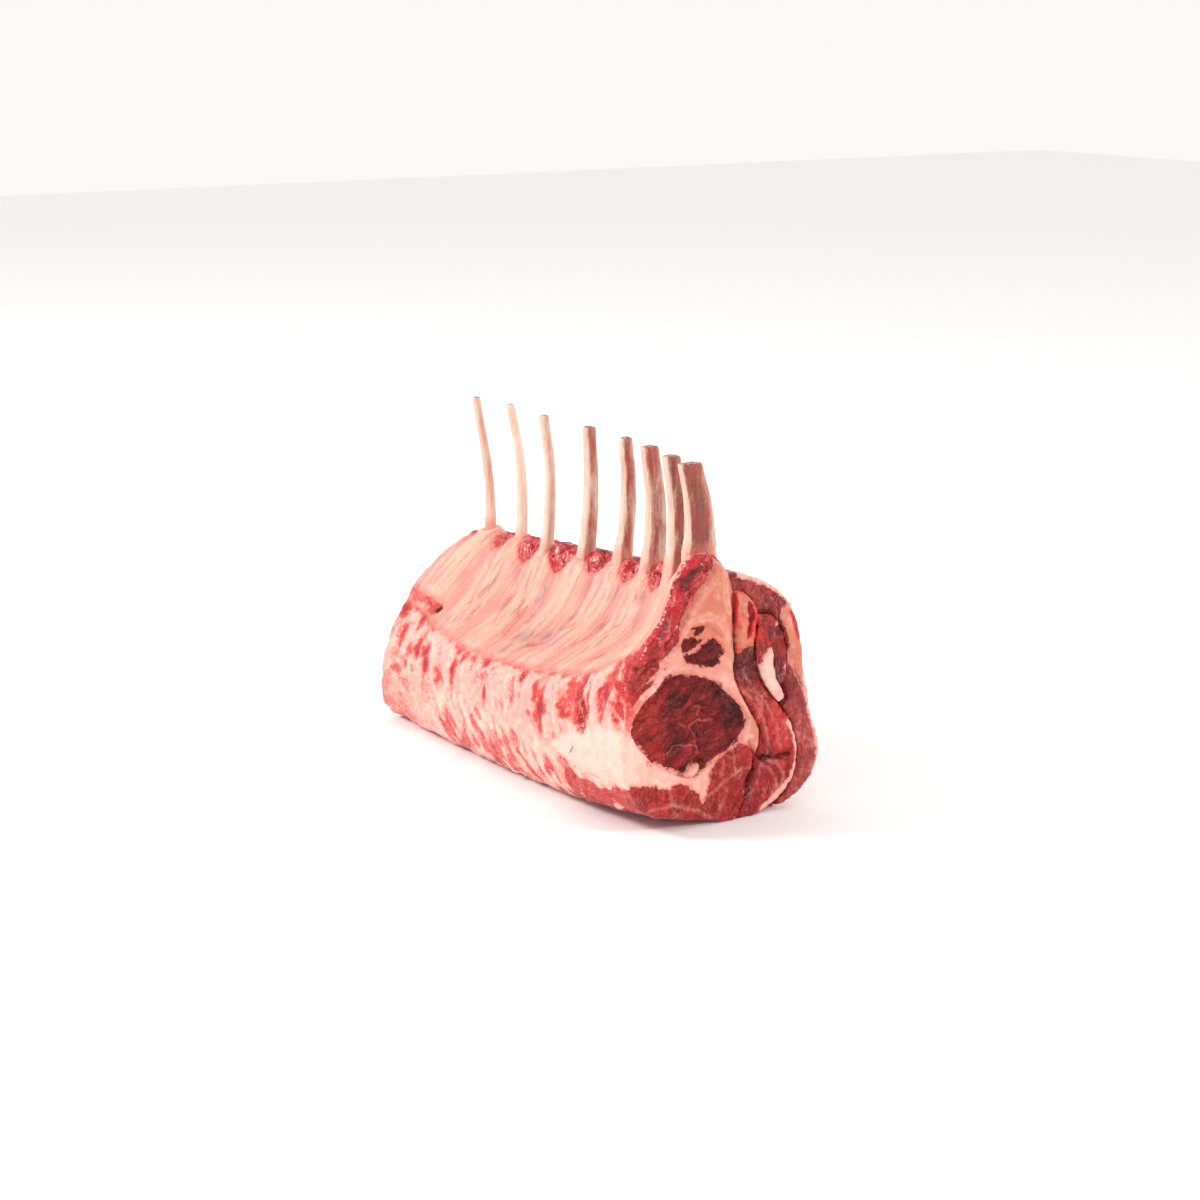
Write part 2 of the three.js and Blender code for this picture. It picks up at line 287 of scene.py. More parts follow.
class Finish:
    # a material whose patterns read millimetres on the piece
    def __init__(self, name):
        self.material = bpy.data.materials.new(name)
        self.material.use_nodes = True
        self.tree = self.material.node_tree
        self.tree.nodes.clear()
        held = self.add("ShaderNodeTexCoord", output="Object")
        self.place = self.add("ShaderNodeVectorMath", {"operation": "SCALE"}, {0: held, "Scale": 1000})

    def add(self, kind, settings=None, inputs=None, output=0):
        node = self.tree.nodes.new(kind)
        for key, value in (settings or {}).items():
            setattr(node, key, value)
        for key, value in (inputs or {}).items():
            if isinstance(value, Wire):
                self.tree.links.new(value.socket, node.inputs[key])
            else:
                node.inputs[key].default_value = value
        return Wire(self, node.outputs[output]) if len(node.outputs) else node

    def maths(self, operation, first, second=0):
        return self.add("ShaderNodeMath", {"operation": operation}, {0: first, 1: second})

    def field(self, name):
        return self.add("ShaderNodeAttribute", {"attribute_name": name}, output="Fac")

    def grain(self, size, stretch=(1, 1, 1), detail=2, distortion=0, roughness=0.5, place=None):
        # noise from 0 to 1 whose lumps are about size long
        return self.add("ShaderNodeTexNoise", {}, {
            "Vector": self.stretched(place or self.place, stretch), "Scale": 1 / size, "Detail": detail,
            "Roughness": roughness, "Distortion": distortion}, "Fac")

    def stretched(self, place, stretch):
        return self.add("ShaderNodeVectorMath", {"operation": "MULTIPLY"}, {0: place, 1: stretch})

    def turned(self, angles):
        return self.add("ShaderNodeMapping", {"vector_type": "TEXTURE"}, {
            "Vector": self.place, "Rotation": angles})

    def bent(self, size, amount, place):
        # the place, pulled about by up to amount
        swirl = self.add("ShaderNodeTexNoise", {}, {
            "Vector": self.place, "Scale": 1 / size, "Detail": 2}, "Color")
        swirl = self.add("ShaderNodeVectorMath", {"operation": "SUBTRACT"}, {0: swirl, 1: (0.5,) * 3})
        swirl = self.add("ShaderNodeVectorMath", {"operation": "SCALE"}, {0: swirl, "Scale": amount * 2})
        return self.add("ShaderNodeVectorMath", {"operation": "ADD"}, {0: place, 1: swirl})

    def cells(self, size, feature="F1", stretch=(1, 1, 1), output="Distance", place=None):
        return self.add("ShaderNodeTexVoronoi", {"feature": feature}, {
            "Vector": self.stretched(place or self.place, stretch), "Scale": 1 / size}, output)

    def over(self, value, start, end):
        # 0 at start, 1 at end, smooth between
        return self.add("ShaderNodeMapRange", {"interpolation_type": "SMOOTHSTEP"}, {
            "Value": value, "From Min": start, "From Max": end})

    def blend(self, first, second, share):
        # 0, 6 and 7 are the sockets of a colour mix, and 2 its colour output
        return self.add("ShaderNodeMix", {"data_type": "RGBA"}, {0: share, 6: first, 7: second}, 2)

    def close(self, look, colour, roughness, height, coat):
        # the shader that all the layers end in
        normal = self.add("ShaderNodeBump", {}, {
            "Strength": 1.0, "Distance": look["bumpDepth"] / 1000, "Height": height})
        shader = self.add("ShaderNodeBsdfPrincipled", {}, {
            "Base Color": colour, "Roughness": roughness, "Normal": normal, "IOR": 1.4,
            "Specular IOR Level": look["gloss"], "Subsurface Weight": look["softLight"],
            "Subsurface Radius": (1.0, 0.32, 0.2), "Subsurface Scale": look["softDepth"] / 1000,
            "Coat Weight": coat, "Coat Roughness": look["coatRoughness"]})
        self.add("ShaderNodeOutputMaterial", {}, {"Surface": shader})
        return self.material


def tone(red, green, blue):
    # a screen colour, 0 to 255, as Blender's linear one
    def linear(value):
        value /= 255
        return value / 12.92 if value <= 0.04045 else ((value + 0.055) / 1.055) ** 2.4
    return (linear(red), linear(green), linear(blue), 1)


# ---- what the cut face shows, as outlines in (y, z)

face = {
    "eye": [
        (-35, 61.5), (-28, 61.8), (-19, 59.7), (-12, 56.5), (-5.7, 50.5), (0, 44), (1.6, 38.5),
        (-1.8, 31.7), (-9, 28.7), (-17, 24.3), (-23, 21), (-33, 25.5), (-41.7, 31), (-48.7, 38.6),
        (-51, 45.7), (-46, 51.6), (-40, 56.6),
    ],
    "eyeSeams": [
        [(-23.5, 26), (-21.5, 31), (-22, 36), (-25.5, 41), (-30, 43)],
        [(-22, 33), (-30, 34), (-36, 32)], [(-24, 48), (-20.5, 48.5), (-21, 45.5)],
        [(-25, 41), (-20, 43), (-14, 42)],
    ],
    "fatKnot": [(-27.6, 22.7), (-24, 25.5), (-21, 26.5), (-20, 24), (-22, 21.5), (-25, 20.5)],
    "small": [
        (-28, 73.8), (-24, 76.5), (-19.4, 74.2), (-14, 74.5), (-10.9, 71.7), (-9.5, 68.5),
        (-11.7, 66.4), (-11, 64.2), (-14.8, 63.3), (-22.8, 65.2), (-27, 66.7), (-29, 71.3),
    ],
    "smallTop": [(-24, 79.3), (-18, 79.3), (-20, 77.3), (-21.8, 76), (-23.3, 77.5)],
    "smallSeams": [[(-11, 77.3), (-16.7, 74), (-21.5, 71.5), (-28, 69.7)]],
    "column": [
        (-25, 109.5), (-30, 102.3), (-31.8, 96), (-35, 90.5), (-37.7, 85.8), (-40.5, 82),
        (-46.3, 76.7), (-56, 72.5), (-50, 68), (-40, 68.5), (-32, 73), (-30, 79), (-27.3, 84.4),
        (-23, 90.4), (-19.6, 95), (-18, 98), (-15, 105),
    ],
    "columnSplit": [
        [(-19, 103.5), (-21, 98), (-24.5, 92.7), (-28.5, 86.7), (-32, 80.5), (-37, 74)],
    ],
    "folds": [
        (-60, 72), (-46.3, 70), (-38, 69), (-35, 66), (-38.5, 62), (-43, 57.5), (-48, 53),
        (-56, 50), (-62, 58),
    ],
    "foldLines": [
        [(-36, 68), (-41, 63), (-47, 60), (-52, 55), (-55, 48)],
        [(-40, 70), (-47, 66), (-52, 61), (-57, 52)], [(-37, 64), (-42, 59), (-48, 55), (-52, 50)],
    ],
    "wedge": [
        (-15, 103), (-19, 96), (-20, 93), (-23, 88), (-27, 83), (-28.5, 79), (-22, 79.5), (-14, 77),
        (-7, 73), (-5, 80), (-5.8, 89), (-6.8, 98),
    ],
    "wedgeArcs": [
        [(-28, 76), (-24.5, 81.5), (-18, 83), (-11, 80), (-7, 73.5)],
        [(-17, 100), (-17, 95), (-21, 89), (-24, 86)], [(-8, 99), (-9, 92), (-7, 84)],
    ],
    "ring": [
        (-31, 74), (-33, 68), (-38, 62), (-33, 63.5), (-20, 62), (-11, 58.5), (-4, 52), (2, 46),
        (8.5, 37), (9, 30), (6, 25), (-1, 30.5), (2.5, 36), (0, 45), (-3.7, 53), (-4, 62),
        (-5.5, 70), (-10, 61.5),
    ],
    "lower": [
        (-58, 19), (-50, 21.5), (-42.5, 20.4), (-36.4, 18.2), (-31, 19.3), (-26, 18.4), (-21.8, 15),
        (-18, 10), (-16, 14), (-15, 20), (-12, 25), (-7, 28.2), (-1, 30), (4.6, 28.4), (8.4, 24.7),
        (12, 18), (14, -5), (-20, -6), (-60, -6), (-66, 10),
    ],
    "lowerSeams": [
        [(-50, 9), (-40, 11), (-31, 11), (-24, 8.3), (-14, 3)],
        [(-16, 12), (-11, 15), (-5, 18.5), (0, 20.5), (5, 20)], [(-10, 19), (-9, 25)],
        [(-3, 18), (-4, 26)], [(-34, 18), (-33, 12), (-30, 6)], [(-7, 13), (-10, 7), (-12, 3)],
    ],
    "flap": [
        (-6.5, 94), (-2.7, 91.5), (0, 89.5), (3, 88.8), (7, 84), (7.5, 79.8), (7, 74), (6, 69),
        (1.5, 68), (-1.5, 65), (-3.7, 60), (-5, 66), (-5, 74), (-6, 82),
    ],
    "ear": [(-2, 86), (0.5, 88.5), (3.2, 88), (6, 84), (6.8, 79.5), (4.5, 78), (2, 80), (-0.5, 81)],
    "flapRed": [
        (0.8, 86.5), (2.6, 86), (4, 83), (5, 79.5), (4.5, 75), (2.2, 71.5), (1.8, 74), (2.2, 79),
        (1, 82.5),
    ],
    "groove": [[(-5, 82), (-4.6, 76), (-4, 70), (-3.6, 64)]],
    "wetPatch": [
        (-0.5, 68.7), (5.3, 69), (6, 63.3), (7.5, 56), (5, 54), (0.5, 56.5), (-3, 59), (-2, 65),
    ],
    "sideSeams": [
        [(-2.5, 54), (3, 49), (8, 42), (11, 36), (12.5, 28), (13, 23)],
        [(2, 52), (8, 49), (13, 42), (17, 34), (19, 26)], [(0, 60), (2.5, 55), (6, 51)],
        [(9, 20), (14, 18), (17, 12), (14, 6)], [(12, 22), (18, 19), (20.5, 13), (16, 7)],
        [(5, 10), (8, 17), (10, 23)], [(6, 48), (9, 44), (7, 38)],
    ],
    "sideCrease": [[(9, 22.6), (13, 22.6), (17, 21.8), (23.5, 22.3)]],
    "lowCrease": [[(3, 31), (6, 24), (4, 17), (-1, 10), (-4, 4)], [(6, 24), (10, 23)]],
    "seamFat": [[(22.5, 36), (26, 29), (27.3, 22), (26.6, 16), (22.6, 10.6), (16, 6), (10, 2)]],
    "leafWhite": [
        (12.8, 66.5), (13.4, 60), (15.2, 54), (19.5, 46), (21, 42), (17, 42), (12.5, 48), (8.5, 54),
        (7.8, 60), (9.5, 64),
    ],
    "capTop": [
        (-7, 97), (-0.5, 95.5), (6.5, 92.5), (13.5, 88.5), (19, 84.5), (19, 82.5), (13.7, 80),
        (12, 76), (8, 72), (4, 80), (2, 84), (-3, 88), (-6, 91),
    ],
    "capFat": [
        (13.7, 81), (21, 84), (27, 76), (31, 64), (33, 52), (33, 44), (30, 46.5), (25, 54.5),
        (20, 61.3), (17.6, 69), (14.7, 75.7),
    ],
    "capSeam": [[(16, 82), (18, 74), (20.5, 66), (24, 58), (29, 49)]],
}

# size, amount and seed of the wander that the eye, the small muscle and the fat round them share
eyeWander = 4.5, 1.3, 61


# ---- the body: chine side, hollow with its membrane, and the fat round the eye

bodyShape = {
    "voxel": 1.3, "crispEnds": 3, "softenSides": 9, "softenAll": 2, "fineFrom": 96.5, "fineAbove": 78,
    "nearFace": (97.6, 99.4), "farFace": (98.2, 99.6), "swell": 0.16,
    # sizes and seeds of the lumps, and the wander of the lines on the cut face: size, amount, seed
    "grains": ((14, 1), (5.5, 2), (2.4, 3)), "streakGrain": (3.4, 19), "foldGrain": (5.2, 9),
    "columnChunks": (3.6, 17), "browClumps": (3.0, 18), "farGrain": (4.5, 12), "lineWander": (4, 0.9, 15),
    # chine side
    "chineFrom": (28, 38), "cornerFrom": (82, 93), "streakTurn": 0.8, "streakRise": 1.0,
    "chineRidge": 0.9, "chineLumps": 0.9, "chineGrain": 0.4, "marrowDepth": 0.9, "facetSize": 5,
    "facetRise": 0.5, "markDip": 0.55, "slitDepth": 2.6, "slitTwoDepth": 1.2, "crackDepth": 0.5,
    "patchRise": 0.9, "patchCrackDepth": 0.45, "holeDepth": 3.2, "holeWidth": 1.9, "spotDepth": 1.5,
    "spotWidth": 1.6, "creamWidth": 1.3, "markGrow": 1.4,
    # where the lower muscle wraps round from the cut face
    "wrapFrom": (50, 68), "wrapHeight": 18, "wrapRise": 3.5, "dimpleWidth": 2.6,
    # the hollow and its brow
    "ribRidge": 2.0, "ribRidgeWidth": 5.5, "membraneFolds": 0.7, "shadeDip": 1.0, "shadeWidth": 3.0,
    "redFoldDip": 0.8, "browLumps": 3.4, "browSwell": 1.3, "collar": 3.6, "collarFrom": 2.5,
    "collarReach": 4.5,
    # cut face
    "columnHeight": 3.4, "columnGrain": 0.35, "columnLumps": 2.5, "columnTurn": 0.8, "columnEdgeDip": 1.2,
    "wedgeBulge": 1.5, "wedgeGrain": 0.5, "arcDepth": 0.5, "ringBulge": 0.7, "foldHeight": 1.0,
    "lowerBulge": 0.5, "lowerLumps": 0.7, "lowCreaseDepth": 1.1, "eyeEdgeDip": 0.5, "faceGrain": 0.3,
    # far end: a fat ring round the eye, and above it a fat band of a height and half width
    "farLumps": 0.7, "farLeanRise": 0.6, "farInset": 0.2, "farRing": 3.4, "farBand": (70, 4),
}

# places, lines and outlines on the body: in (x, z), and in (y, z) at the far end
bodyMarks = {
    "membraneEdge": [
        (-110, 53), (-90, 51.5), (-78, 49.5), (-66, 46.5), (-52, 45.5), (-37, 44.5), (-21, 45),
        (-1, 46.5), (20, 48.5), (40, 51.5), (57, 55), (72, 60), (89, 68.5), (104, 77),
    ],
    # how high the membrane reaches: up the bones, and lower between them
    "browLine": [
        (-110, 77), (-93, 78.5), (-86, 84), (-80, 80), (-74, 77), (-68, 78.5), (-61, 82),
        (-55, 77.5), (-49, 74.5), (-42, 78.5), (-37, 82), (-31, 77), (-24, 75), (-18, 79),
        (-12, 82), (-6, 80), (0, 78.5), (6, 82), (12, 87), (17.5, 82.5), (24.5, 80), (31, 82.5),
        (37, 88), (42, 84), (49, 81.5), (55, 85), (61, 92), (65, 89), (70, 90), (84, 100),
        (104, 112),
    ],
    "facets": [(-46, 36), (-21, 36.5), (-3, 37.5), (22.5, 39.5), (46, 46), (90, 53), (30, 42)],
    "marrows": [
        [
            (50, 39), (49.5, 43), (53, 48), (56.5, 52.5), (62, 54.5), (66, 55), (67, 47), (69, 41),
            (66, 37), (58, 38),
        ],
        [(77, 48), (78, 54), (81, 60), (86, 64), (88, 58), (86, 51), (82, 46)],
        [(92, 57), (93, 66), (100, 71), (104, 64), (100, 55), (95, 51)],
    ],
    # red marks: x, z, half length along, half height, strength
    "flushes": [
        (-97, 50, 5, 5, 0.8), (-88.5, 54.5, 4.5, 1.6, 1.0), (-84, 57, 3, 1, 0.6),
        (-86, 51, 3.5, 1.2, 0.6), (-78.5, 47, 1.6, 4, 0.8), (-91.5, 41, 2, 1.6, 0.5),
        (-87.5, 40, 2.1, 4.5, 0.8), (-89.5, 31.5, 4, 1, 0.45), (-77.5, 34.5, 2.2, 3.2, 0.7),
        (-71, 38.5, 2, 3.4, 1.0), (-64, 38.5, 3, 3.2, 1.0), (-61, 33, 2.6, 3, 0.95),
        (-69.5, 44, 1.6, 2, 0.7), (-86, 26, 3.5, 2.2, 0.55), (-78, 29.5, 2.2, 1.6, 0.5),
        (-75, 22, 7, 2.6, 0.35), (-62.5, 26, 2, 3, 0.5), (-49.3, 31.5, 3.6, 3, 0.8),
        (-36.5, 36.5, 2.3, 3.6, 0.95), (-37, 45.5, 3, 2.3, 0.8), (-31, 42.5, 1.6, 2.4, 0.7),
        (-36.5, 30, 1.8, 3.4, 0.55), (-24, 43.8, 2.6, 1.2, 0.7), (-12.5, 45, 1.8, 1.5, 0.9),
        (-8.5, 34, 1.6, 2.8, 0.9), (-10, 41, 1.4, 3, 0.5), (4, 51, 4, 1.6, 0.5),
        (14, 36, 1.4, 2.2, 0.6), (33, 43.5, 1.9, 3.6, 0.8), (28, 33, 1.6, 1.8, 0.7),
        (38, 37, 2.2, 7.5, 1.1), (33.8, 33.5, 2.6, 3.4, 0.8), (66, 53.5, 1.7, 4.6, 1.1),
        (64.5, 47, 2.6, 5, 0.95), (68, 42, 2.8, 4.8, 1.2), (57, 52, 3, 2.4, 0.7),
        (87.5, 61.5, 1.7, 3.4, 1.1), (83.5, 53.7, 1.8, 3.4, 1.1), (85.5, 57.5, 1.5, 3, 0.9),
        (83, 47, 1.6, 3, 0.6), (94, 55, 2.4, 2.8, 0.75), (93.5, 46, 2, 0.8, 0.8),
        (73, 48, 1.2, 5, 0.8),
    ],
    "creamLines": [
        [(-42, 42), (-42, 33), (-41, 24)], [(-66, 44), (-56, 40), (-54, 30)],
        [(-75, 33), (-75, 26), (-73, 20)], [(-25, 40), (-27, 33), (-25, 26)],
        [(1, 39), (0.5, 33), (1, 27)], [(9.5, 43), (9.5, 36), (11, 30)],
        [(25.5, 46), (24.5, 40), (25.5, 34)], [(41, 48), (40.2, 42), (40.4, 34), (43, 28)],
        [(47.5, 50), (49.3, 45), (49, 37.5), (51, 31), (56, 25)], [(94, 67), (95.5, 62), (95, 57)],
        [(72, 57), (75, 50), (77, 42)],
    ],
    "patch": [
        (47, 25.5), (55, 30.5), (66, 35.5), (77, 39.5), (90, 41), (104, 41), (104, 23), (90, 20),
        (76, 18), (64, 19), (55, 21.5),
    ],
    "patchCracks": [
        [(65, 30.5), (62, 27), (59.5, 24.5)], [(57, 22.5), (64, 20.2), (74, 20), (90, 21)],
    ],
    "slit": [[(64.5, 48), (65.2, 43), (66.5, 39.5), (69.5, 36)]],
    "slitTwo": [[(67.8, 48), (71, 43.5)]],
    # lines of painted shade in the membrane's folds, which are also dipped
    "skinShade": [
        [(-26, 78), (-26, 68), (-21.5, 57), (-16, 52.5)],
        [(6.5, 60.5), (2, 57), (-3, 54), (-10, 51)], [(0.5, 80), (2.7, 69), (4.2, 61)],
        [(21, 84), (22.6, 73), (25, 64)], [(43, 84), (44, 76), (47, 68)],
        [(-49, 78), (-47, 68), (-43, 60)], [(66, 88), (69, 78), (70, 68)],
    ],
    "skinRed": [
        [(11.5, 60.5), (7.6, 57.4), (3, 54), (-6, 51.5)], [(-45.5, 62), (-41, 55.3), (-36.6, 52.2)],
        [(-30, 60), (-27.7, 53.6), (-24.7, 50.5)], [(-55.5, 56), (-54.9, 53.6), (-52.7, 51)],
        [(28, 66), (25, 60), (19, 55)], [(-66, 70), (-64, 62), (-60, 56)], [(36, 62), (39, 66)],
        [(50, 58), (52, 60)], [(-38, 72), (-36, 64), (-31, 57)],
    ],
    "skinSpots": [
        (-92, 66, 1.8, 3, 0.7), (-89, 61, 1.6, 2.4, 0.6), (-82.5, 70, 1.6, 3.6, 0.8),
        (-96, 58, 2.4, 2, 0.9), (-76, 74, 2, 2, 0.5), (-58, 66, 2.4, 3, 0.45),
        (30, 80, 2, 2.6, 0.7),
    ],
    "hole": (-75.6, 52.7),
    "spot": (19.3, 46),
    "dimple": (87, 9.5),
    "farStreak": [[(-101, 56), (-90, 54.5), (-81, 53.5), (-76, 52.5)]],
    # the far end
    "farSeams": [
        [(-46, 22), (-40, 9), (-24, 4), (0, 9), (12, 20)], [(-24, 62), (-10, 66), (2, 60), (7, 50)],
        [(-12, 64), (-6, 74), (2, 80)],
    ],
    "farEye": [(-42, 27), (-30, 45), (-13, 54), (6, 44), (11, 30), (-4, 14), (-18, 9), (-34, 14)],
}


def along(line, x):
    places, heights = zip(*line)
    return np.interp(x, places, heights)


def ribNearness(x, width):
    return np.maximum.reduce([hump(x - place, width) for place in ribPlaces])


def ribFeet():
    # where each bone stands, at the height of the brow
    feet = []
    for index, place in enumerate(ribPlaces):
        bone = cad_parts["rib_%d" % (index + 1)]
        points = np.array([tuple(v.co) for v in bone.data.vertices]) * 1000
        height = along(bodyMarks["browLine"], place)
        feet.append((place, points[np.abs(points[:, 2] - height) < 9][:, 1].mean()))
    return feet


class BodyClay(Clay):
    # the body's points, and how each lies to the marks that are sculpted and coloured
    def __init__(self, piece):
        super().__init__(piece)
        self.x, self.y, self.z = self.columns()
        self.near = rise(self.x, *bodyShape["nearFace"]) * rise(self.normals[:, 0], -0.2, 0.3)
        self.far = rise(-self.x, *bodyShape["farFace"])
        # the noise is only worked out where it can be seen
        self.seen = (self.z < 6) | (self.y < -20) | (self.z > 50) | (np.abs(self.x) > 97)
        self.big, self.mid, self.fine = (
            self.crags(size, seed, where=self.seen) for size, seed in bodyShape["grains"])

    def findChine(self):
        # the bony side: fat with red and cream marks, wet hollows, slits, and a smooth cream patch
        s, m, x, z, mid = bodyShape, bodyMarks, self.x, self.z, self.mid
        self.edge = along(m["membraneEdge"], x)
        self.chine = rise(-self.y, *s["chineFrom"]) * rise(self.edge + 3 - z, 0, 2.5) * (1 - self.near)
        self.low = rise(25 - z + 2 * self.big, -4, 4)
        self.corner = rise(x, *s["cornerFrom"]) * rise(z, 42, 50)
        self.plain = rise(-x, 38, 62)  # the far part, which has less red along its foot
        aslant = turned(self.points, "y", s["streakTurn"])
        self.slant = self.crags(*s["streakGrain"], (1, 1, 0.25), self.seen, aslant)
        self.cream = hump(nearLines(m["creamLines"], x + mid, z), s["creamWidth"]) * (1 - self.low)
        self.facet = mid + np.maximum.reduce([
            s["facetSize"] - np.hypot((x - a) * 1.05, (z - b) * 0.75) for a, b in m["facets"]])
        self.marrow = np.maximum.reduce([
            insideOf(outline, x + mid, z + mid) for outline in m["marrows"]])
        self.patch = insideOf(m["patch"], x + mid, z + mid)
        self.slit, self.slitTwo, self.cracks = (
            nearLines(m[name], x, z) for name in ("slit", "slitTwo", "patchCracks"))
        self.hole = np.hypot(x - m["hole"][0], (z - m["hole"][1]) * 1.2)
        self.spot = np.hypot(x - m["spot"][0], z - m["spot"][1])
        self.farStreak = np.where(self.y < -20, nearLines(m["farStreak"], x, z + 1.2 * mid), 20)
        # the lower muscle wraps round from the cut face, with a dimple of fat in it
        wrapTop = s["wrapHeight"] + s["wrapRise"] * rise(x, 80, 99)
        dimple = hump(np.hypot((x - m["dimple"][0]) * 0.4, z - m["dimple"][1]), s["dimpleWidth"])
        self.wrap = rise(x, *s["wrapFrom"]) * rise(wrapTop - z + mid, 0, 3) - 1.2 * dimple
        self.flush = (self.blots(m["flushes"], s["markGrow"]) * mix(1.05, 1.2, rise(x, 20, 50))
                      * (1 + 0.7 * mid + 0.5 * self.fine))

    def findWall(self):
        # the hollow, its membrane, and the ragged line where that ends between the bones
        s, m, x, y, z, mid = bodyShape, bodyMarks, self.x, self.y, self.z, self.mid
        ny, nz = self.normals[:, 1], self.normals[:, 2]
        self.brow = along(m["browLine"], x)
        self.scallop = self.brow - 0.4 + mid + 0.8 * self.fine
        inwards = rise(-ny + nz * 0.4, -0.25, 0.1)
        membrane = np.minimum(z - self.edge + 0.8 * mid, self.scallop - z) * inwards
        self.membrane = np.where(y < 4, membrane, -5)
        self.wall = rise(self.membrane, 0, 3)
        self.browRed = rise(z - self.scallop, -1, 1.5) * rise(y, -34, -20)
        shade = nearLines(m["skinShade"], x + 1.5 * mid, z)
        self.shade = hump(shade, s["shadeWidth"]) * (0.6 + 0.8 * mid)
        self.redFold = hump(nearLines(m["skinRed"], x + 0.7 * mid, z), 1.0)
        self.foot = np.min([np.hypot(x - a, y - b) for a, b in ribFeet()], axis=0)

    def findFace(self):
        # the outlines on the cut face, some of them made ragged
        s, shown = bodyShape, self.near > 0

        def onFace(find, shape, places, empty):
            whole = np.full(self.count, float(empty))
            whole[shown] = find(face[shape], *places)
            return whole

        plain = self.y[shown], self.z[shown]
        loose = [place[shown] for place in self.wander(*s["lineWander"], shown)]
        looser = [place[shown] for place in self.wander(*eyeWander, shown)]
        self.within = {name: onFace(insideOf, name, plain, -9) for name in (
            "eye", "small", "wedge", "ring")}
        self.ragged = {name: onFace(insideOf, name, looser, -9) for name in (
            "eye", "column", "folds", "lower", "smallTop", "small")}
        self.beside = {name: onFace(nearLines, name, loose, 9) for name in (
            "columnSplit", "foldLines", "lowerSeams", "lowCrease", "wedgeArcs")}
        self.level(self.near, np.minimum(
            np.abs(self.within["eye"] + 0.6), np.abs(self.within["small"] + 0.8)))
        self.column = self.ragged["column"]
        split = hump(self.beside["columnSplit"], 1.5)
        self.lobes = np.clip(dome(self.column, 4.5) - 0.8 * split, 0, 1)
        aslant = turned(self.points, "x", s["columnTurn"])
        lumpy = (self.x > 94) | (self.z > 74)
        self.chunk = self.crags(*s["columnChunks"], (1, 0.45, 1), lumpy, aslant)
        self.clump = self.crags(*s["browClumps"], where=self.z > 72)

    def blots(self, marks, grow):
        # soft marks, each with its own strength, at ragged places
        x = self.x + 0.8 * self.mid + 2.4 * self.slant
        z = self.z + 1.6 * self.fine + 1.5 * self.big
        return np.maximum.reduce([
            strength * np.exp(-((x - a) / (wide * grow)) ** 2 - ((z - b) / (tall * grow)) ** 2)
            for a, b, wide, tall, strength in marks])

    def sculptChine(self):
        s, chine = bodyShape, self.chine
        self.push(chine * (
            s["chineRidge"] * self.cream + s["chineLumps"] * self.mid + s["chineGrain"] * self.fine
            - s["marrowDepth"] * rise(self.marrow, -0.5, 1.5) + s["facetRise"] * rise(self.facet, -1, 3)
            - s["markDip"] * np.clip(self.flush, 0, 1) - s["streakRise"] * self.slant * self.low
            - s["slitDepth"] * hump(self.slit, 0.9) - s["slitTwoDepth"] * hump(self.slitTwo, 0.8)
            - s["crackDepth"] * hump(self.cracks, 0.5)) * (1 - rise(self.patch, -1, 3)))
        smooth = s["patchRise"] * dome(self.patch, 6) - s["patchCrackDepth"] * hump(self.cracks, 0.6)
        self.push(chine * smooth * (self.patch > -1))

    def sculptWall(self):
        s, x, z, brow = bodyShape, self.x, self.z, self.brow
        streaks = self.crags(*s["foldGrain"], (1, 0.14, 0.14), self.wall > 0)
        ridges = ribNearness(x, s["ribRidgeWidth"]) * rise(brow - z, -2, 8) * rise(z - self.edge, 0, 12)
        self.push(self.wall * (s["ribRidge"] * ridges + s["membraneFolds"] * streaks
                               - s["redFoldDip"] * self.redFold - s["shadeDip"] * self.shade))
        self.push(-s["holeDepth"] * hump(self.hole, s["holeWidth"])
                  - s["spotDepth"] * hump(self.spot, s["spotWidth"]))
        collars = hump(np.maximum(self.foot - s["collarFrom"], 0), s["collarReach"])
        lumps = (0.3 + 1.3 * self.clump + 0.4 * self.mid) * (1 - ribNearness(x, 5)) * rise(z - brow, -1, 1.5)
        self.shift(z=rise(z, 72, 78) * (1 - self.near) * (s["collar"] * collars + s["browLumps"] * lumps))
        backwards = rise(self.normals[:, 1], 0.2, 0.7)
        self.push(s["browSwell"] * backwards * rise(z, 58, 66) * (1 - self.near))

    def sculptFace(self):
        s, mid, fine, column = bodyShape, self.mid, self.fine, self.column
        wedge, ring = self.within["wedge"], self.within["ring"]
        folds, lower, eyeEdge = self.ragged["folds"], self.ragged["lower"], self.ragged["eye"] + 0.2
        foldDips, arcs, crease = (hump(self.beside[name], 0.9) for name in (
            "foldLines", "wedgeArcs", "lowCrease"))
        self.shift(x=self.near * (
            s["columnHeight"] * self.lobes - s["columnEdgeDip"] * hump(column + 0.8, 1.0)
            + (s["columnGrain"] * fine + s["columnLumps"] * self.chunk) * rise(column, -1, 1)
            + s["wedgeBulge"] * dome(wedge, 9)
            + rise(wedge, 0, 3) * (s["wedgeGrain"] * mid - s["arcDepth"] * arcs)
            + s["ringBulge"] * dome(ring, 3)
            + s["foldHeight"] * rise(folds, -1, 3) * (1 - 1.6 * foldDips + 0.8 * self.chunk)
            + s["lowerLumps"] * mid * rise(lower, 0, 3) + 0.4 * fine * rise(lower, 0, 2)
            + s["lowerBulge"] * dome(lower, 3) - s["lowCreaseDepth"] * crease
            - s["eyeEdgeDip"] * rise(-np.abs(eyeEdge), -1.2, 0) + s["faceGrain"] * fine))

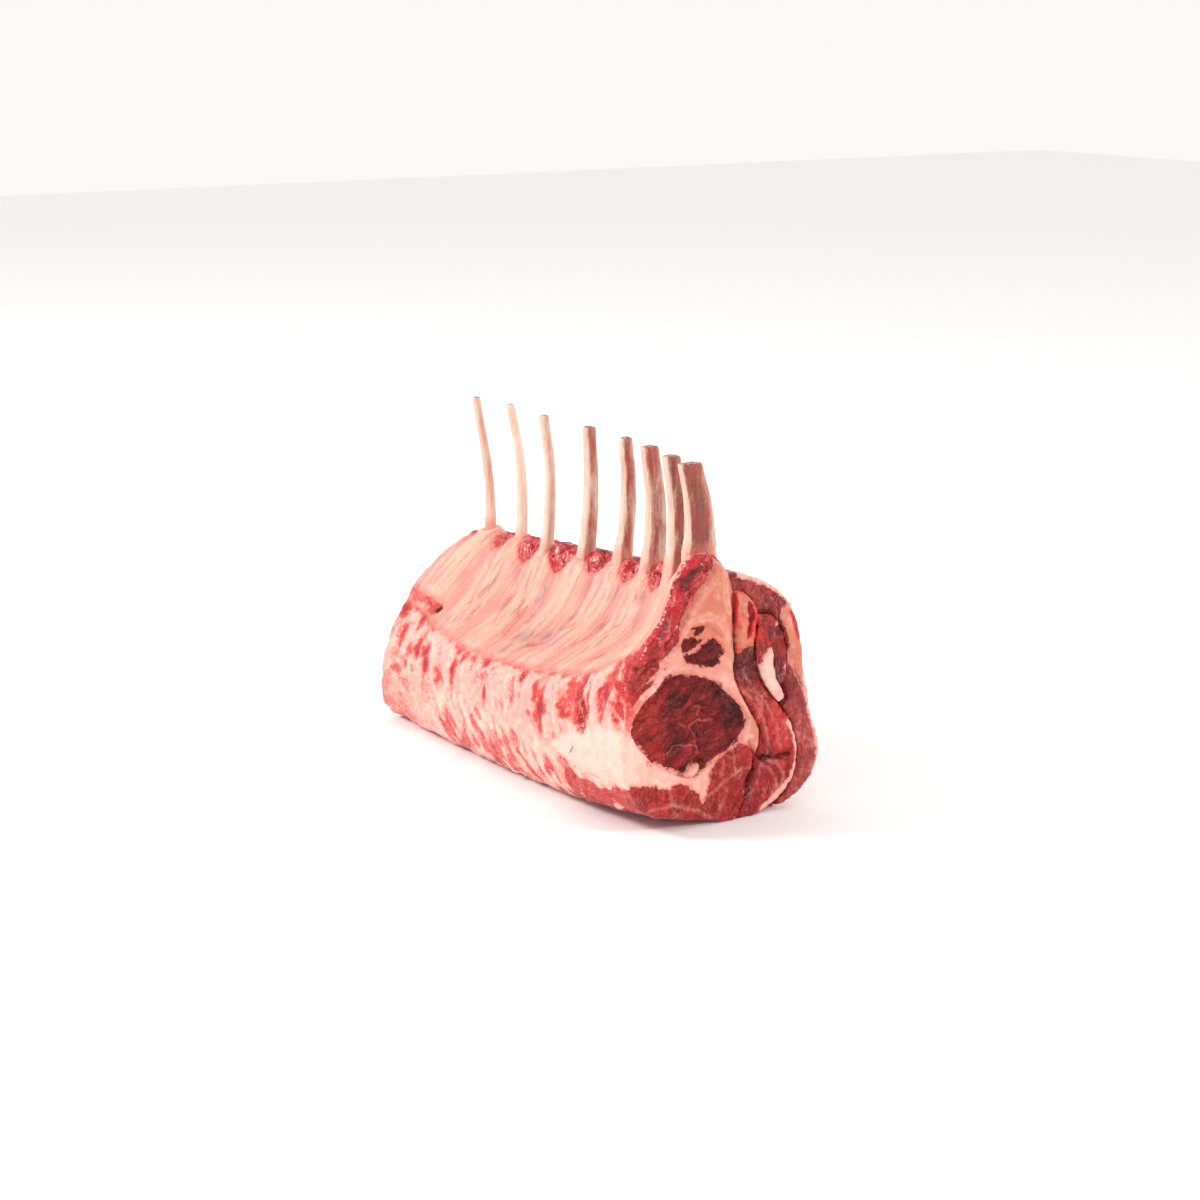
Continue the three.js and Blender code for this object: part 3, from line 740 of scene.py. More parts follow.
    def sculptFarEnd(self):
        s, m, y, z = bodyShape, bodyMarks, self.y, self.z
        grain = self.crags(*s["farGrain"], where=self.far > 0)
        bandHeight, bandWidth = s["farBand"]
        band = bandWidth - np.abs(z - bandHeight + 0.5 * y)
        fat = np.maximum(band, s["farRing"] + insideOf(m["farEye"], y, z))
        self.farLean = np.where(fat + self.mid > 0, -2.2, 1.6 + 3.5 * self.mid + 2 * self.big)
        self.shift(x=-self.far * (
            s["farLumps"] * grain + s["farLeanRise"] * rise(self.farLean, -1, 1) - s["farInset"]))

    def leanField(self):
        # how far each place lies inside lean, negative in fat
        z, mid, big, slant, patch = self.z, self.mid, self.big, self.slant, self.patch
        upper = mix(-2.4 + 1.5 * mid, 0.6 + 2.5 * mid + 5 * slant, self.corner)
        lower = -0.1 - 1.5 * rise(z, 7, 20) + 6 * slant + 2.2 * mid + 1.2 * big - 2.4 * self.plain
        chineLean = mix(upper, lower + 3.4 * self.wrap, np.maximum(self.low, rise(self.wrap, 0.1, 0.5)))
        chineLean = np.maximum(chineLean, 3.0 - self.slit)
        chineLean = np.where(patch > -2.5, np.minimum(chineLean, -patch), chineLean)
        chineLean = np.maximum.reduce([chineLean, 2.6 - self.spot, 2.2 - self.farStreak + 2.5 * mid])
        browLean = np.where(self.browRed > 0.02, 3 * self.browRed + 1.5 * mid, -9)
        foldDips = hump(self.beside["foldLines"], 1.0)
        faceLean = np.maximum.reduce([
            self.column + 0.3, *(self.ragged[name] for name in ("lower", "smallTop", "small", "eye")),
            self.ragged["folds"] - 0.8 - 2.6 * foldDips])
        lean = mix(mix(np.maximum(chineLean, browLean), faceLean, self.near), self.farLean, self.far)
        return np.where((z < 3) & (self.near < 0.5), 0.8 + 4 * big + 2 * mid, lean)

    def seamField(self):
        # how far each place is from a pale line in the lean
        mid, beside = self.mid, self.beside
        farSeams = nearLines(bodyMarks["farSeams"], self.y + mid, self.z + mid)
        wrapSeams = np.where(self.wrap > 0.3, np.abs(9 * self.slant + mid) + 0.2, 9.0)
        faceSeams = np.minimum(beside["lowerSeams"], beside["foldLines"] + 0.2)
        return mix(np.where(self.far > 0.5, farSeams, wrapSeams), faceSeams, self.near)

    def wetField(self):
        # 0 for dry and 1 for the lumpy red column, the brow, the hollows and the deepest marks
        x, chine = self.x, self.chine
        browWet = (self.browRed * (1 - self.near) * mix(0.6, 1.0, rise(x, -80, -55))
                   * rise(self.foot, 2.0, 4.5))
        return np.maximum.reduce([
            self.near * rise(self.column, -0.3, 1), browWet,
            chine * rise(self.marrow, -0.5, 2) * (0.42 + 1.3 * self.fine),
            chine * rise(2.0 - self.slit, 0, 1.5) * 0.9,
            chine * rise(self.flush, 1.0, 1.35) * rise(x, 20, 50) * 0.6])

    def fatFields(self):
        # how orange and how pale the fat is
        y, z, mid, near, chine = self.y, self.z, self.mid, self.near, self.chine
        arcs = hump(self.beside["wedgeArcs"] - 0.8, 1.0)
        salmon = near * mix(0.3, 1, rise(z, 48, 88)) * rise(y, -38, -22) * (1 - 0.45 * arcs)
        salmon = np.maximum(salmon, near * rise(y, -2, 7) * 0.9)
        facePatch = near * rise(-y, 42, 53) * rise(z, 17, 22) * rise(44 - z, 0, 5)
        pale = np.maximum.reduce([
            chine * rise(self.patch, -1.5, 1.5) * (0.72 + 0.5 * mid), facePatch * 0.8,
            chine * self.cream * 0.5, chine * (1 - self.low) * (0.1 + 0.4 * mid),
            chine * self.low * rise(-self.slant, -0.05, 0.25) * (1 - self.plain) * 0.65,
            near * rise(30 - z, 0, 8) * 0.35])
        return salmon, pale

    def darkField(self):
        # how dark the lean is, from about 0 to 1
        near = self.near
        dark = mix(-0.3 + 0.4 * rise(self.x, -20, 90), 0.42, near)
        muscles = 0.45 * rise(self.ragged["eye"], -1, 0.5) + 0.3 * rise(self.ragged["small"], -1, 0.5)
        dark = np.where(near > 0.5, dark + muscles, dark)
        dark = np.where(self.browRed * (1 - near) > 0.05, 0.12, dark)
        # painted highlight and shade: on the column the lean is paler where its sculpted lumps stand out and
        # darker where they sink; the brow gets the same mottle
        lumpy = np.maximum(near * rise(self.column, -1, 1), self.browRed)
        return dark - (0.5 * self.chunk + 0.25 * self.fine) * lumpy

    def creaseShadeField(self):
        # how far each place is from a crease, split, slit, crack or hole, for the painted shade in them
        onFace, onChine, beside = self.near > 0.4, self.chine > 0.3, self.beside
        return np.minimum.reduce([
            np.where(onFace, np.minimum(beside["lowCrease"] + 0.3, np.abs(self.column + 0.6) + 0.35), 9),
            np.where(onFace, beside["columnSplit"] + 0.2, 9),
            np.where(onChine, np.minimum(self.slit, self.slitTwo), 9),
            np.where(onChine, self.cracks + 0.25, 9), self.hole - 1.1])

    def flushField(self):
        # blood marks and red washes
        y, z, mid, near, chine = self.y, self.z, self.mid, self.near, self.chine
        offPatch = 1 - rise(self.patch, -2, 0)
        faceWash = near * rise(-y, 44, 54) * rise(z, 42, 46) * rise(72 - z, 0, 6) * (0.45 + 0.9 * mid)
        lowRim = 0.75 * hump(z - self.edge, 1.6) * rise(-y, 20, 30) * (1 - near) * (0.5 + mid)
        topRim = (0.9 * hump(z - self.scallop + 0.5, 1.4) * rise(-self.x, 0, 45) * rise(y, -30, -20)
                  * (0.6 + mid) * (y < 4))
        chineWash = chine * (0.13 + 0.5 * mid + 0.3 * self.big) * (1 - self.low) * (1 - self.cream)
        marrowWash = rise(self.marrow, -1, 1.5) * chine * (0.8 + 0.6 * mid + 0.9 * self.fine)
        return np.clip(np.maximum.reduce([
            self.flush * chine * offPatch, chineWash * offPatch, marrowWash,
            chine * self.corner * (0.3 + 0.7 * mid), faceWash, lowRim, topRim,
            self.wall * np.maximum(self.redFold * 0.85, self.blots(bodyMarks["skinSpots"], 1.0))]), 0, 1.2)

    def noteFinish(self):
        salmon, pale = self.fatFields()
        membrane = np.minimum(self.membrane, self.farStreak - 1.6 - self.mid)
        greyFacets = self.chine * rise(self.facet, -1.5, 1.5) * (1 - self.low)
        self.note(
            lean=self.leanField(), seam=self.seamField(), wet=self.wetField(), salmon=salmon, pale=pale,
            dark=self.darkField(), crease=self.creaseShadeField(), flush=self.flushField(),
            membrane=np.where(np.maximum(self.near, self.far) > 0.35, -5, membrane),
            # grey: the facets' own grey on the chine, and painted shade in the membrane's folds
            grey=np.maximum(greyFacets, self.wall * self.shade),
            blush=np.clip(0.5 + 0.6 * self.big + rise(-self.x, 55, 85) * 0.4, 0, 1),
            onRib=ribNearness(self.x, 6.5))


def makeBody():
    piece = carve("meat_body", "rack_body", bodyShape)
    clay = BodyClay(piece)
    clay.findChine()
    clay.findWall()
    clay.findFace()
    clay.sculptChine()
    clay.sculptWall()
    clay.sculptFace()
    clay.sculptFarEnd()
    clay.push(np.full(clay.count, bodyShape["swell"]))
    clay.settle()
    clay.noteFinish()
    return piece


# ---- the muscles and layers that show at the cut

eyeShape = {
    "voxel": 1.0, "crispEnds": 3, "softenSides": 6, "softenAll": 2, "fineFrom": 97,
    "nearFace": (97.8, 99.4), "bulge": 0.9, "fibres": 0.9, "fibreTurn": 0.4, "seamDepth": 0.8,
    "knotRise": 1.2, "knotEdgeDip": 1.2, "edgeDip": 0.5, "inset": 0.5, "overlap": 0.7,
    "lumpGrain": (6, 21), "fibreGrain": (3.4, 22), "fineGrain": (1.7, 23), "seamWander": (5, 1.3, 25),
}


def makeEye():
    s = eyeShape
    piece = carve("meat_eye", "eye_muscle", s)
    clay = Clay(piece)
    x, y, z = clay.columns()
    near, far = rise(x, *s["nearFace"]), rise(-x, *s["nearFace"])
    ends = np.abs(x) > 96.5
    alongFibres = turned(clay.points, "x", s["fibreTurn"])
    mid = clay.crags(*s["lumpGrain"], where=ends)
    fibre = clay.crags(*s["fibreGrain"], (1, 0.35, 1), ends, alongFibres)
    fine = clay.crags(*s["fineGrain"], (1, 0.5, 1), ends, alongFibres)
    inside = insideOf(face["eye"], *clay.wander(*eyeWander, x > 94))
    edge = insideOf(face["eye"], y, z)
    seam = nearLines(face["eyeSeams"], *clay.wander(*s["seamWander"], x > 97))
    knot = insideOf(face["fatKnot"], y, z)
    clay.level(near, np.abs(edge + 0.6))
    relief = s["fibres"] * (0.4 * mid + 0.7 * fibre + 0.35 * fine)
    knotted = s["knotRise"] * dome(knot, 1.5) - s["knotEdgeDip"] * hump(knot + 1.2, 0.9)
    clay.shift(x=near * (
        s["bulge"] * dome(inside + 1.5, 9) - s["inset"] + relief + knotted
        - s["seamDepth"] * hump(seam - 0.9, 0.7) - s["edgeDip"] * rise(-np.abs(inside + 0.2), -1.2, 0))
        - far * (0.6 * mid + 0.2))
    clay.spread(s["overlap"] * rise(x, 90, 94))
    clay.keep()
    # painted shade and highlight: darker where the fibres and lumps sink and paler where they stand out, over
    # the muscle's own tone
    depth = (0.5 + 0.45 * rise(y, -20, -4) * rise(z, 34, 42) + 0.15 * rise(z, 50, 56)
             - 0.45 * fibre - 0.35 * mid)
    atFace = near > 0.3
    clay.note(
        lean=np.where(atFace, np.minimum(inside, -knot + 0.2), 3), seam=np.where(atFace, seam, 9),
        wet=near * 0.3 * rise(-inside, -5, 0) * rise(-y, 30, 42), salmon=near * 0.4,
        pale=np.where(knot > -1, 0.6, 0), membrane=-5, flush=0, grey=0, blush=0.5, onRib=0,
        dark=mix(0.55, mix(depth, 0.2, rise(-y, 30, 46)), near),
        # painted shade in the crevice round the fat knot
        crease=np.where(atFace, np.abs(knot + 0.9) + 0.5, 9))
    return piece


smallShape = {
    "voxel": 0.8, "crispEnds": 2, "softenSides": 4, "softenAll": 2, "fineFrom": 98,
    "nearFace": (98.2, 99.4), "faceSkin": (97, 98.5), "middle": (-19, 71.3), "halfSize": (10.2, 8),
    "fibres": 0.3, "lumpRise": 0.35, "seamDepth": 0.1, "stand": 0.1, "overlap": 0.9,
    "grain": (1.8, 31),
}


def makeSmall():
    s = smallShape
    piece = carve("meat_small", "small_muscle", s)
    clay = Clay(piece)
    x, y, z = clay.columns()
    near, skin = rise(x, *s["nearFace"]), rise(x, *s["faceSkin"])
    fine = clay.crags(*s["grain"])
    wy, wz = clay.wander(*eyeWander, x > 94)
    lump = np.maximum(insideOf(face["small"], wy, wz), insideOf(face["smallTop"], wy, wz))
    seam = nearLines(face["smallSeams"], wy, wz)
    wedge = insideOf(face["wedge"], y, z)
    # its softened rim is brought back out to the cut face
    (middleY, middleZ), (halfWide, halfTall) = s["middle"], s["halfSize"]
    rim = np.maximum(np.hypot((y - middleY) / halfWide, (z - middleZ) / halfTall) - 0.8, 0)
    clay.shift(x=skin * rise(rim, 0, 0.12) * np.maximum(halfLength - x, 0))
    clay.shift(x=skin * (
        s["fibres"] * fine + s["lumpRise"] * dome(lump, 3) - s["seamDepth"] * hump(seam, 1) + s["stand"]
        + bodyShape["wedgeBulge"] * dome(wedge, 9)))
    clay.spread(s["overlap"] * rise(x, 90, 94))
    clay.keep()
    clay.note(
        lean=np.minimum(lump, seam - 0.7), seam=9, wet=0, salmon=near * mix(0.3, 1, rise(z, 48, 88)),
        pale=0, membrane=-5, flush=0, grey=0, dark=0.75, crease=9, blush=0.5, onRib=0)
    return piece


sideShape = {
    "voxel": 1.1, "crispEnds": 3, "softenSides": 8, "softenAll": 2, "fineFrom": 96,
    "nearFace": (97.6, 99.4), "farFace": (97.8, 99.4), "flapShift": 0.9, "flapRise": 1.9, "earRim": 1.3,
    "grooveDepth": 1.6, "bandRelief": 0.9, "creaseDepth": 1.5, "lowCreaseDepth": 1.3, "fatRise": 0.5,
    "seamRise": 0.5, "dropDepth": 0.8, "swell": 0.15, "overlap": 1.3,
    "grains": ((13, 41), (5, 42), (2.1, 43)), "flapWander": (3.5, 0.7, 63), "seamWander": (5, 0.9, 48),
}


def makeSide():
    s = sideShape
    piece = carve("meat_side", "side_muscle", s)
    clay = Clay(piece)
    x, y, z = clay.columns()
    near, far = rise(x, *s["nearFace"]), rise(-x, *s["farFace"])
    big, mid, fine = (clay.crags(size, seed) for size, seed in s["grains"])
    # the flap stands forward, so what lies on it is set a little to the left
    wy, wz = clay.wander(*s["flapWander"], x > 94)
    flap, ear, red, wetSpot = (insideOf(face[name], wy + s["flapShift"], wz - 0.4) for name in (
        "flap", "ear", "flapRed", "wetPatch"))
    loose = clay.wander(*s["seamWander"], x > 96)
    groove, seam, crease, low, fatSeam = (nearLines(face[name], *loose) for name in (
        "groove", "sideSeams", "sideCrease", "lowCrease", "seamFat"))
    drop = rise(36 - z, 0, 18) * rise(y, 6, 18)
    clay.shift(x=near * (
        s["flapRise"] * dome(flap, 3.5) * rise(z, 62, 74) + s["bandRelief"] * (mid + 0.6 * fine)
        + s["earRim"] * (dome(ear, 1.5) - 1.3 * dome(red, 1.5)) + s["fatRise"] * dome(5 - fatSeam, 5)
        + s["seamRise"] * hump(seam - 1.6, 0.8) - s["grooveDepth"] * hump(groove, 1.0)
        - s["creaseDepth"] * hump(crease, 0.9) - s["lowCreaseDepth"] * hump(low, 1.0)
        - s["dropDepth"] * drop))
    ny, nz = clay.normals[:, 1], clay.normals[:, 2]
    top = rise(z, 76, 84) * (1 - near) * rise(nz, 0.2, 0.6)
    clay.shift(x=-far * 0.5 * mid, z=top * (0.6 + 1.6 * mid + 0.9 * fine))
    hidden = rise(np.abs(ny), 0.3, 0.7) * rise(z, 50, 60) * (1 - near) * (1 - rise(x, 92, 97))
    clay.push(s["swell"] + s["overlap"] * hidden)
    clay.settle()
    atFace = near > 0.3
    isFat = np.maximum(np.where(z > 66, flap, -9), 1.6 - fatSeam)
    lean = np.where(atFace, np.maximum(-isFat, red - 0.4), 1 + 3 * big + 1.5 * mid)
    lean = np.where((near < 0.3) & (top > 0.1), 1.2 + 3 * mid + 2 * big, lean)
    rightRim = rise(y, 2.2, 5) * rise(flap, -1, 0.5) * rise(z, 66, 72)
    leftGap = rise(-y, 2.6, 4.6) * rise(z, 72, 78) * rise(flap, -2, 0)
    flush = near * np.maximum.reduce([
        rise(red, -0.8, 0.6) * 1.1, 0.75 * rightRim, 1.1 * leftGap,
        0.36 * rise(flap, 0, 1) * (0.6 + 1.5 * mid)])
    # painted shade and highlight: darker where the band's lumps sink and along the low crease, paler where
    # the lumps stand out
    depth = (0.44 + 0.55 * rise(wetSpot, -3, 1) + 0.4 * hump(low, 4) - 0.4 * mid - 0.3 * fine
             - 0.3 * rise(y, 12, 17) * rise(z, 24, 30))
    clay.note(
        lean=lean, seam=np.where(atFace, seam, 9), flush=np.clip(flush, 0, 1.2),
        wet=near * 0.42 * rise(wetSpot, -1.5, 1.5) + top * 0.5, salmon=near * rise(z, 55, 68) * 0.9,
        pale=near * rise(2.4 - fatSeam, 0, 1) * 0.4, membrane=-5, grey=0, dark=mix(0.3, depth, near),
        # painted shade in the groove and the creases
        crease=np.where(atFace, np.minimum.reduce([groove - 0.2, crease, low + 0.3]), 9),
        blush=0.5, onRib=0)
    return piece


leafShape = {
    "voxel": 0.55, "crispEnds": 1.5, "softenSides": 3, "softenAll": 2, "nearFace": (96, 99),
    "stand": 0.9, "stripRise": 0.8, "thicken": 0.16, "swell": 0.75, "grainSizes": (4, 1.6),
    # the outer leaf's fold
    "topFrom": 68, "topTo": 77, "topRise": 3.4, "topLean": 3.6, "topWiden": 0.75, "topMiddle": 15.3,
    "knobPlace": (15.0, 76.2), "knobSize": 1.9, "edgeFat": 19.9,
}


def makeLeaf(name, node, white, seed, dark):
    s = leafShape
    piece = carve(name, node, s)
    clay = Clay(piece)
    x, y, z = clay.columns()
    near = rise(x, *s["nearFace"])
    mid, fine = (clay.crags(size, seed + step) for step, size in enumerate(s["grainSizes"]))
    if white:
        strip = insideOf(face["leafWhite"], y, z) + 0.9 + 0.4 * mid
        flush = near * rise(z, 68, 74) * rise(-y, -9.5, -7.5) * 0.9
    else:
        # its upper end folds over the leaf beside it, with a pale knob of fat
        bend = rise(z, s["topFrom"], s["topTo"])
        widen = s["topWiden"] * bend
        clay.shift(y=(y - s["topMiddle"]) * widen - s["topLean"] * bend, z=s["topRise"] * bend)
        knobY, knobZ = s["knobPlace"]
        fromKnob = np.hypot(clay.points[:, 1] - knobY, clay.points[:, 2] - knobZ)
        knob = s["knobSize"] - fromKnob + 0.4 * mid
        edgeFat = 0.9 - np.abs(y - s["edgeFat"] + 0.02 * (z - 55)) - 2 * rise(z, 60, 66) + 0.3 * mid
        strip = np.maximum(edgeFat, knob - 0.4)
        flush = 0.4 * near * bend
    clay.shift(x=near * (s["stand"] + 0.6 * mid + 0.35 * fine + s["stripRise"] * dome(strip, 1.5)))
    clay.push(s["thicken"] + 0.12 * mid)
    clay.spread(s["swell"])
    clay.keep()
    # painted shade and highlight: darker where the lumps sink and paler where they stand out
    clay.note(
        lean=-strip + 0.3, seam=9, wet=0.1, salmon=0, pale=0.25, membrane=-5, grey=0, flush=flush,
        dark=dark - 0.35 * mid - 0.3 * fine, crease=9, blush=0.4, onRib=0)
    return piece


capShape = {
    "voxel": 1.15, "crispEnds": 3, "softenSides": 8, "softenAll": 2, "fineFrom": 96,
    "nearFace": (97.4, 99.3), "farFace": (97.8, 99.4),
    "topDip": 1.2, "fatRise": 1.2, "lowRise": 0.8, "seamDepth": 0.8, "rimRise": 0.9, "outerFolds": 0.7,
    "outerLumps": 0.4, "ridgeLumps": 0.8, "swell": 0.14, "overlap": 1.3,
    "grains": ((16, 51), (5.5, 52), (2.2, 53)), "foldGrain": (11, 55), "lineWander": (4, 0.9, 65),
    "silhouette": [
        (-8, 99), (4, 96.5), (14, 92), (22.5, 84), (27.5, 71), (29.5, 57), (33, 41), (37, 25), (36, 14),
        (30, 7),
    ],
    # height, and how wide the pale rim is there
    "rimWidth": [
        (0, 1.6), (20, 2.2), (50, 3.0), (56, 0.4), (66, 0.2), (80, 0.4), (84, 2.4), (99, 3.2),
    ],
}


def makeCap():
    s = capShape
    piece = carve("meat_cap", "outer_cap", s)
    clay = Clay(piece)
    x, y, z = clay.columns()
    ny, nz = clay.normals[:, 1], clay.normals[:, 2]
    near, far = rise(x, *s["nearFace"]), rise(-x, *s["farFace"])
    big, mid, fine = (clay.crags(size, seed) for size, seed in s["grains"])
    folds = clay.crags(*s["foldGrain"], (0.35, 1, 1))
    wy, wz = clay.wander(*s["lineWander"], x > 94)
    top, fat = insideOf(face["capTop"], wy, wz), insideOf(face["capFat"], wy, wz)
    seam = nearLines(face["capSeam"], wy, wz)
    outer = rise(ny + nz, 0.2, 0.6)
    fromEdge = awayFrom(smoothLine(s["silhouette"]), y, z)
    rim = along(s["rimWidth"], z) - fromEdge + 0.9 * mid
    clay.shift(x=near * (
        0.7 * mid + 0.4 * fine - s["topDip"] * dome(top, 4) + s["fatRise"] * dome(fat, 4)
        + s["rimRise"] * dome(rim, 2) - s["seamDepth"] * hump(seam, 0.8)
        + s["lowRise"] * rise(52 - z, 0, 10)))
    lumps = s["outerFolds"] * folds + s["outerLumps"] * big + 0.15 * mid
    clay.push(outer * (1 - near) * (1 - far) * lumps)
    ridgeTop = rise(z, 76, 82) * rise(nz, 0.1, 0.6) * (1 - near)
    clay.push(ridgeTop * (s["ridgeLumps"] * mid + 0.4 * fine))
    hidden = rise(-ny, 0.3, 0.7) * rise(z, 40, 50) * (1 - near) * (1 - rise(x, 92, 97))
    clay.push(s["swell"] + s["overlap"] * hidden)
    clay.shift(x=-far * 0.5 * mid)
    clay.settle()
    # the cut face: dark muscle, fat, and a pale rim, with lean in the pocket where the leaves lie
    pocket = rise(-ny, 0.1, 0.5) + rise(-nz, 0.1, 0.5) * rise(z, 70, 76)
    isFat = np.where(pocket > 0.5, -2, np.maximum(fat, rim))
    nearLean = np.where(z > 60, np.maximum(top, -isFat), -isFat)
    nearLean = np.where((y < 17) & (z > 68) & (z < 82), 3, nearLean)
    # the outside: fat with a little lean, and more of it along the top
    outerLean = -3.4 + 5.5 * big + 2.2 * mid + 1.5 * rise(26 - z, 0, 20)
    sideLean = mix(outerLean, 0.4 + 3.4 * mid + 2 * big, ridgeTop)
    inner = rise(-ny, 0.2, 0.6) * (1 - near)
    rimPale = rise(rim, -0.6, 0.4) * near
    outerSalmon = outer * (1 - near) * np.clip(0.25 + 0.8 * big + 0.4 * folds, 0, 0.7)
    nearSalmon = near * mix(1.0, 0.25, rise(-z, -60, -44)) * (1 - rimPale) * 0.95
    redEdge = near * rise(4.2 - fromEdge, 0, 1.5) * rise(z, 66, 70) * rise(82 - z, 0, 3)
    # painted shade and highlight: darker where the lumps sink and paler where they stand out
    depth = (0.46 - 0.45 * mid - 0.3 * fine - 0.1 * rise(z, 82, 90)
             - 0.4 * rise(-z, -50, -35) * rise(y, 18, 26))
    clay.note(
        lean=mix(mix(sideLean, 1.0, inner), nearLean, near), seam=9, wet=ridgeTop * 0.4,
        flush=redEdge * 0.9, salmon=np.maximum(nearSalmon, outerSalmon),
        pale=np.maximum(rimPale * 0.9, outer * (1 - near) * 0.35), membrane=-5, grey=0.8 * rimPale,
        # painted shade along the seam
        dark=mix(0.3, depth, near), crease=np.where(near > 0.3, seam + 0.3, 9),
        blush=np.clip(0.45 + 0.7 * folds, 0, 1), onRib=0)
    return piece


# ---- the bared bones

ribShape = {
    "voxel": 0.6, "crispEnds": 0, "softenSides": 0, "softenAll": 9,
    "knots": 0.2, "hollow": 0.3, "swell": 0.62, "tipRise": 0.7, "tipRagged": 0.45,
    "skirt": 0.8, "skirtReach": 9, "smallSize": 0.57, "sizeStep": 0.07, "stainRise": 0.35,
    "knotGrain": (9, 60), "fineGrain": (1.4, 70), "rungs": 26, "rungReach": 1.6,
    # one value for each bone, from the far end
    "stain": [0.4, 0.1, 0.4, 0.7, 0.85, 0.85, 1.05, 1.15],
    "stainFrom": [0.4, 0.4, 0.4, 0.45, 0.4, 0.3, 0.35, 0.22],
    "fade": [0.5, 0.5, 0.5, 0.3, 0.6, 0.5, 0.5, 0.7],
    "base": [84, 83, 83, 84, 89, 90, 94, 106],
    "tipRed": [0.2, 0.1, 0.1, 0.9, 0.5, 0.8, 0.5, 0.4],
    "blush": [0.7, 0.35, 0.2, 0.1, 0.1, 0.1, 0.1, 0.1],
}


def makeRib(index):
    s = ribShape
    number = index + 1
    piece = carve("bone_%d" % number, "rib_%d" % number, s)
    clay = Clay(piece)
    y, z = clay.columns()[1:]
    nx, ny, nz = clay.normals.T
    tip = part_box("rib_%d" % number)[1].z * 1000 - z
    # the middle line is drawn smooth
    rungs = np.linspace(z.min() + 2, z.max() - 2, s["rungs"])
    middles = np.array([y[np.abs(z - rung) < s["rungReach"]].mean() for rung in rungs])
    bend = np.polyfit(rungs, middles, 4)
    reached = np.clip(z, rungs[0], rungs[-1])
    clay.shift(y=np.polyval(bend, reached) - np.interp(reached, rungs, middles))
    above = z - s["base"][index]
    size = s["smallSize"] + s["sizeStep"] * index
    (longSize, longSeed), (fineSize, fineSeed) = s["knotGrain"], s["fineGrain"]
    long = clay.crags(longSize, longSeed + index, (1, 1, 0.35))
    fine = clay.crags(fineSize, fineSeed + index, (1, 1, 0.5))
    knots = s["knots"] * long * rise(tip, 0, 2)
    hollow = s["hollow"] * hump(nx - 1, 0.5) * rise(tip, 1, 5)
    skirt = s["skirt"] * rise(-above, -s["skirtReach"], 1) * (0.66 + 0.55 * fine)
    clay.push((1 - rise(nz, 0.4, 0.9)) * (s["swell"] + size * (knots - hollow + skirt)))
    ragged = s["tipRagged"] * (fine + 0.5 * long)
    clay.shift(z=s["tipRise"] * rise(-tip, -6, -1) + rise(-tip, -1.8, -0.5) * ragged)
    clay.keep()
    # the stain lies on the side towards the cut face, and fades round the back; it is partly a real stain and
    # partly painted shade on the side turned from the key light
    reached = np.clip(clay.points[:, 2], rungs[0], rungs[-1])
    offset = clay.points[:, 1] - np.polyval(bend, reached)
    across = offset / np.percentile(np.abs(offset), 92)
    start = s["stainFrom"][index]
    side = rise(nx + 0.12 * long, start, start + s["stainRise"])
    side = side * (1 - s["fade"][index] * rise(across, -0.3, 0.9))
    clay.note(
        stainSide=side * s["stain"][index], stainWhole=s["stain"][index], tip=tip, above=above,
        inner=rise(-ny, 0.25, 0.8), upward=rise(nz, 0.45, 0.8) * rise(-tip, -3.5, -1.5),
        tipRed=s["tipRed"][index], blush=s["blush"][index])
    return piece


# ---- finishes

meatLook = {
    "gloss": 0.3, "softLight": 0.1, "softDepth": 2.5, "coatRoughness": 0.2, "bumpDepth": 2.0,
    "roughness": 0.38, "coat": 0.08, "leanCoat": 0.1, "wetCoat": 0.32,
    # lean
    "leanPale": tone(222, 106, 98), "leanLight": tone(196, 50, 48), "leanDeep": tone(146, 24, 26),
    "leanDark": tone(78, 9, 12), "marbling": tone(220, 134, 120),
    "fibreStretch": (0.5, 1, 0.8), "fibreTurn": (0, 0, 0), "fibreBend": 2, "bundleSize": 2.2,
    "bundleTone": 0.3, "strandTone": 0.8, "patchDepth": 1.1, "paleFlecks": 0.6,
    "marbleSize": 5, "marbleStretch": (0.6, 1, 0.6), "marbleAmount": 0.4,
    "seamWidth": 1.25, "seamStrength": 0.7,
    # fat
    "fatPale": tone(233, 192, 176), "fatPink": tone(228, 150, 138), "fatSalmon": tone(192, 114, 88),
    "fatOrange": tone(200, 98, 76), "fatRed": tone(206, 74, 68), "facetGrey": tone(214, 160, 150),
    "fatPatch": 4.2, "fatStretch": (1, 1, 1), "fatFlecks": 0.75, "fatEdge": 0.4,
    # membrane
    "membraneCream": tone(228, 178, 156), "membranePink": tone(222, 142, 130),
    "membraneMauve": tone(196, 134, 136), "membraneRed": tone(208, 92, 84),
    "skinShade": tone(170, 118, 120),
    # blood marks, clots, and the painted shade in creases
    "markLight": tone(208, 54, 52), "markDeep": tone(142, 8, 14), "markStrength": 0.96,
    "crimson": tone(192, 18, 28), "crimsonDark": tone(98, 4, 10), "clotPinkAndHighlight": tone(236, 132, 126),
    "wetTurn": (0.8, 0, 0), "creaseShade": tone(56, 6, 9), "creaseShadeStrength": 0.8,
}
meatFields = (
    "lean", "seam", "wet", "salmon", "pale", "dark", "crease", "membrane", "flush", "grey", "blush", "onRib",
)


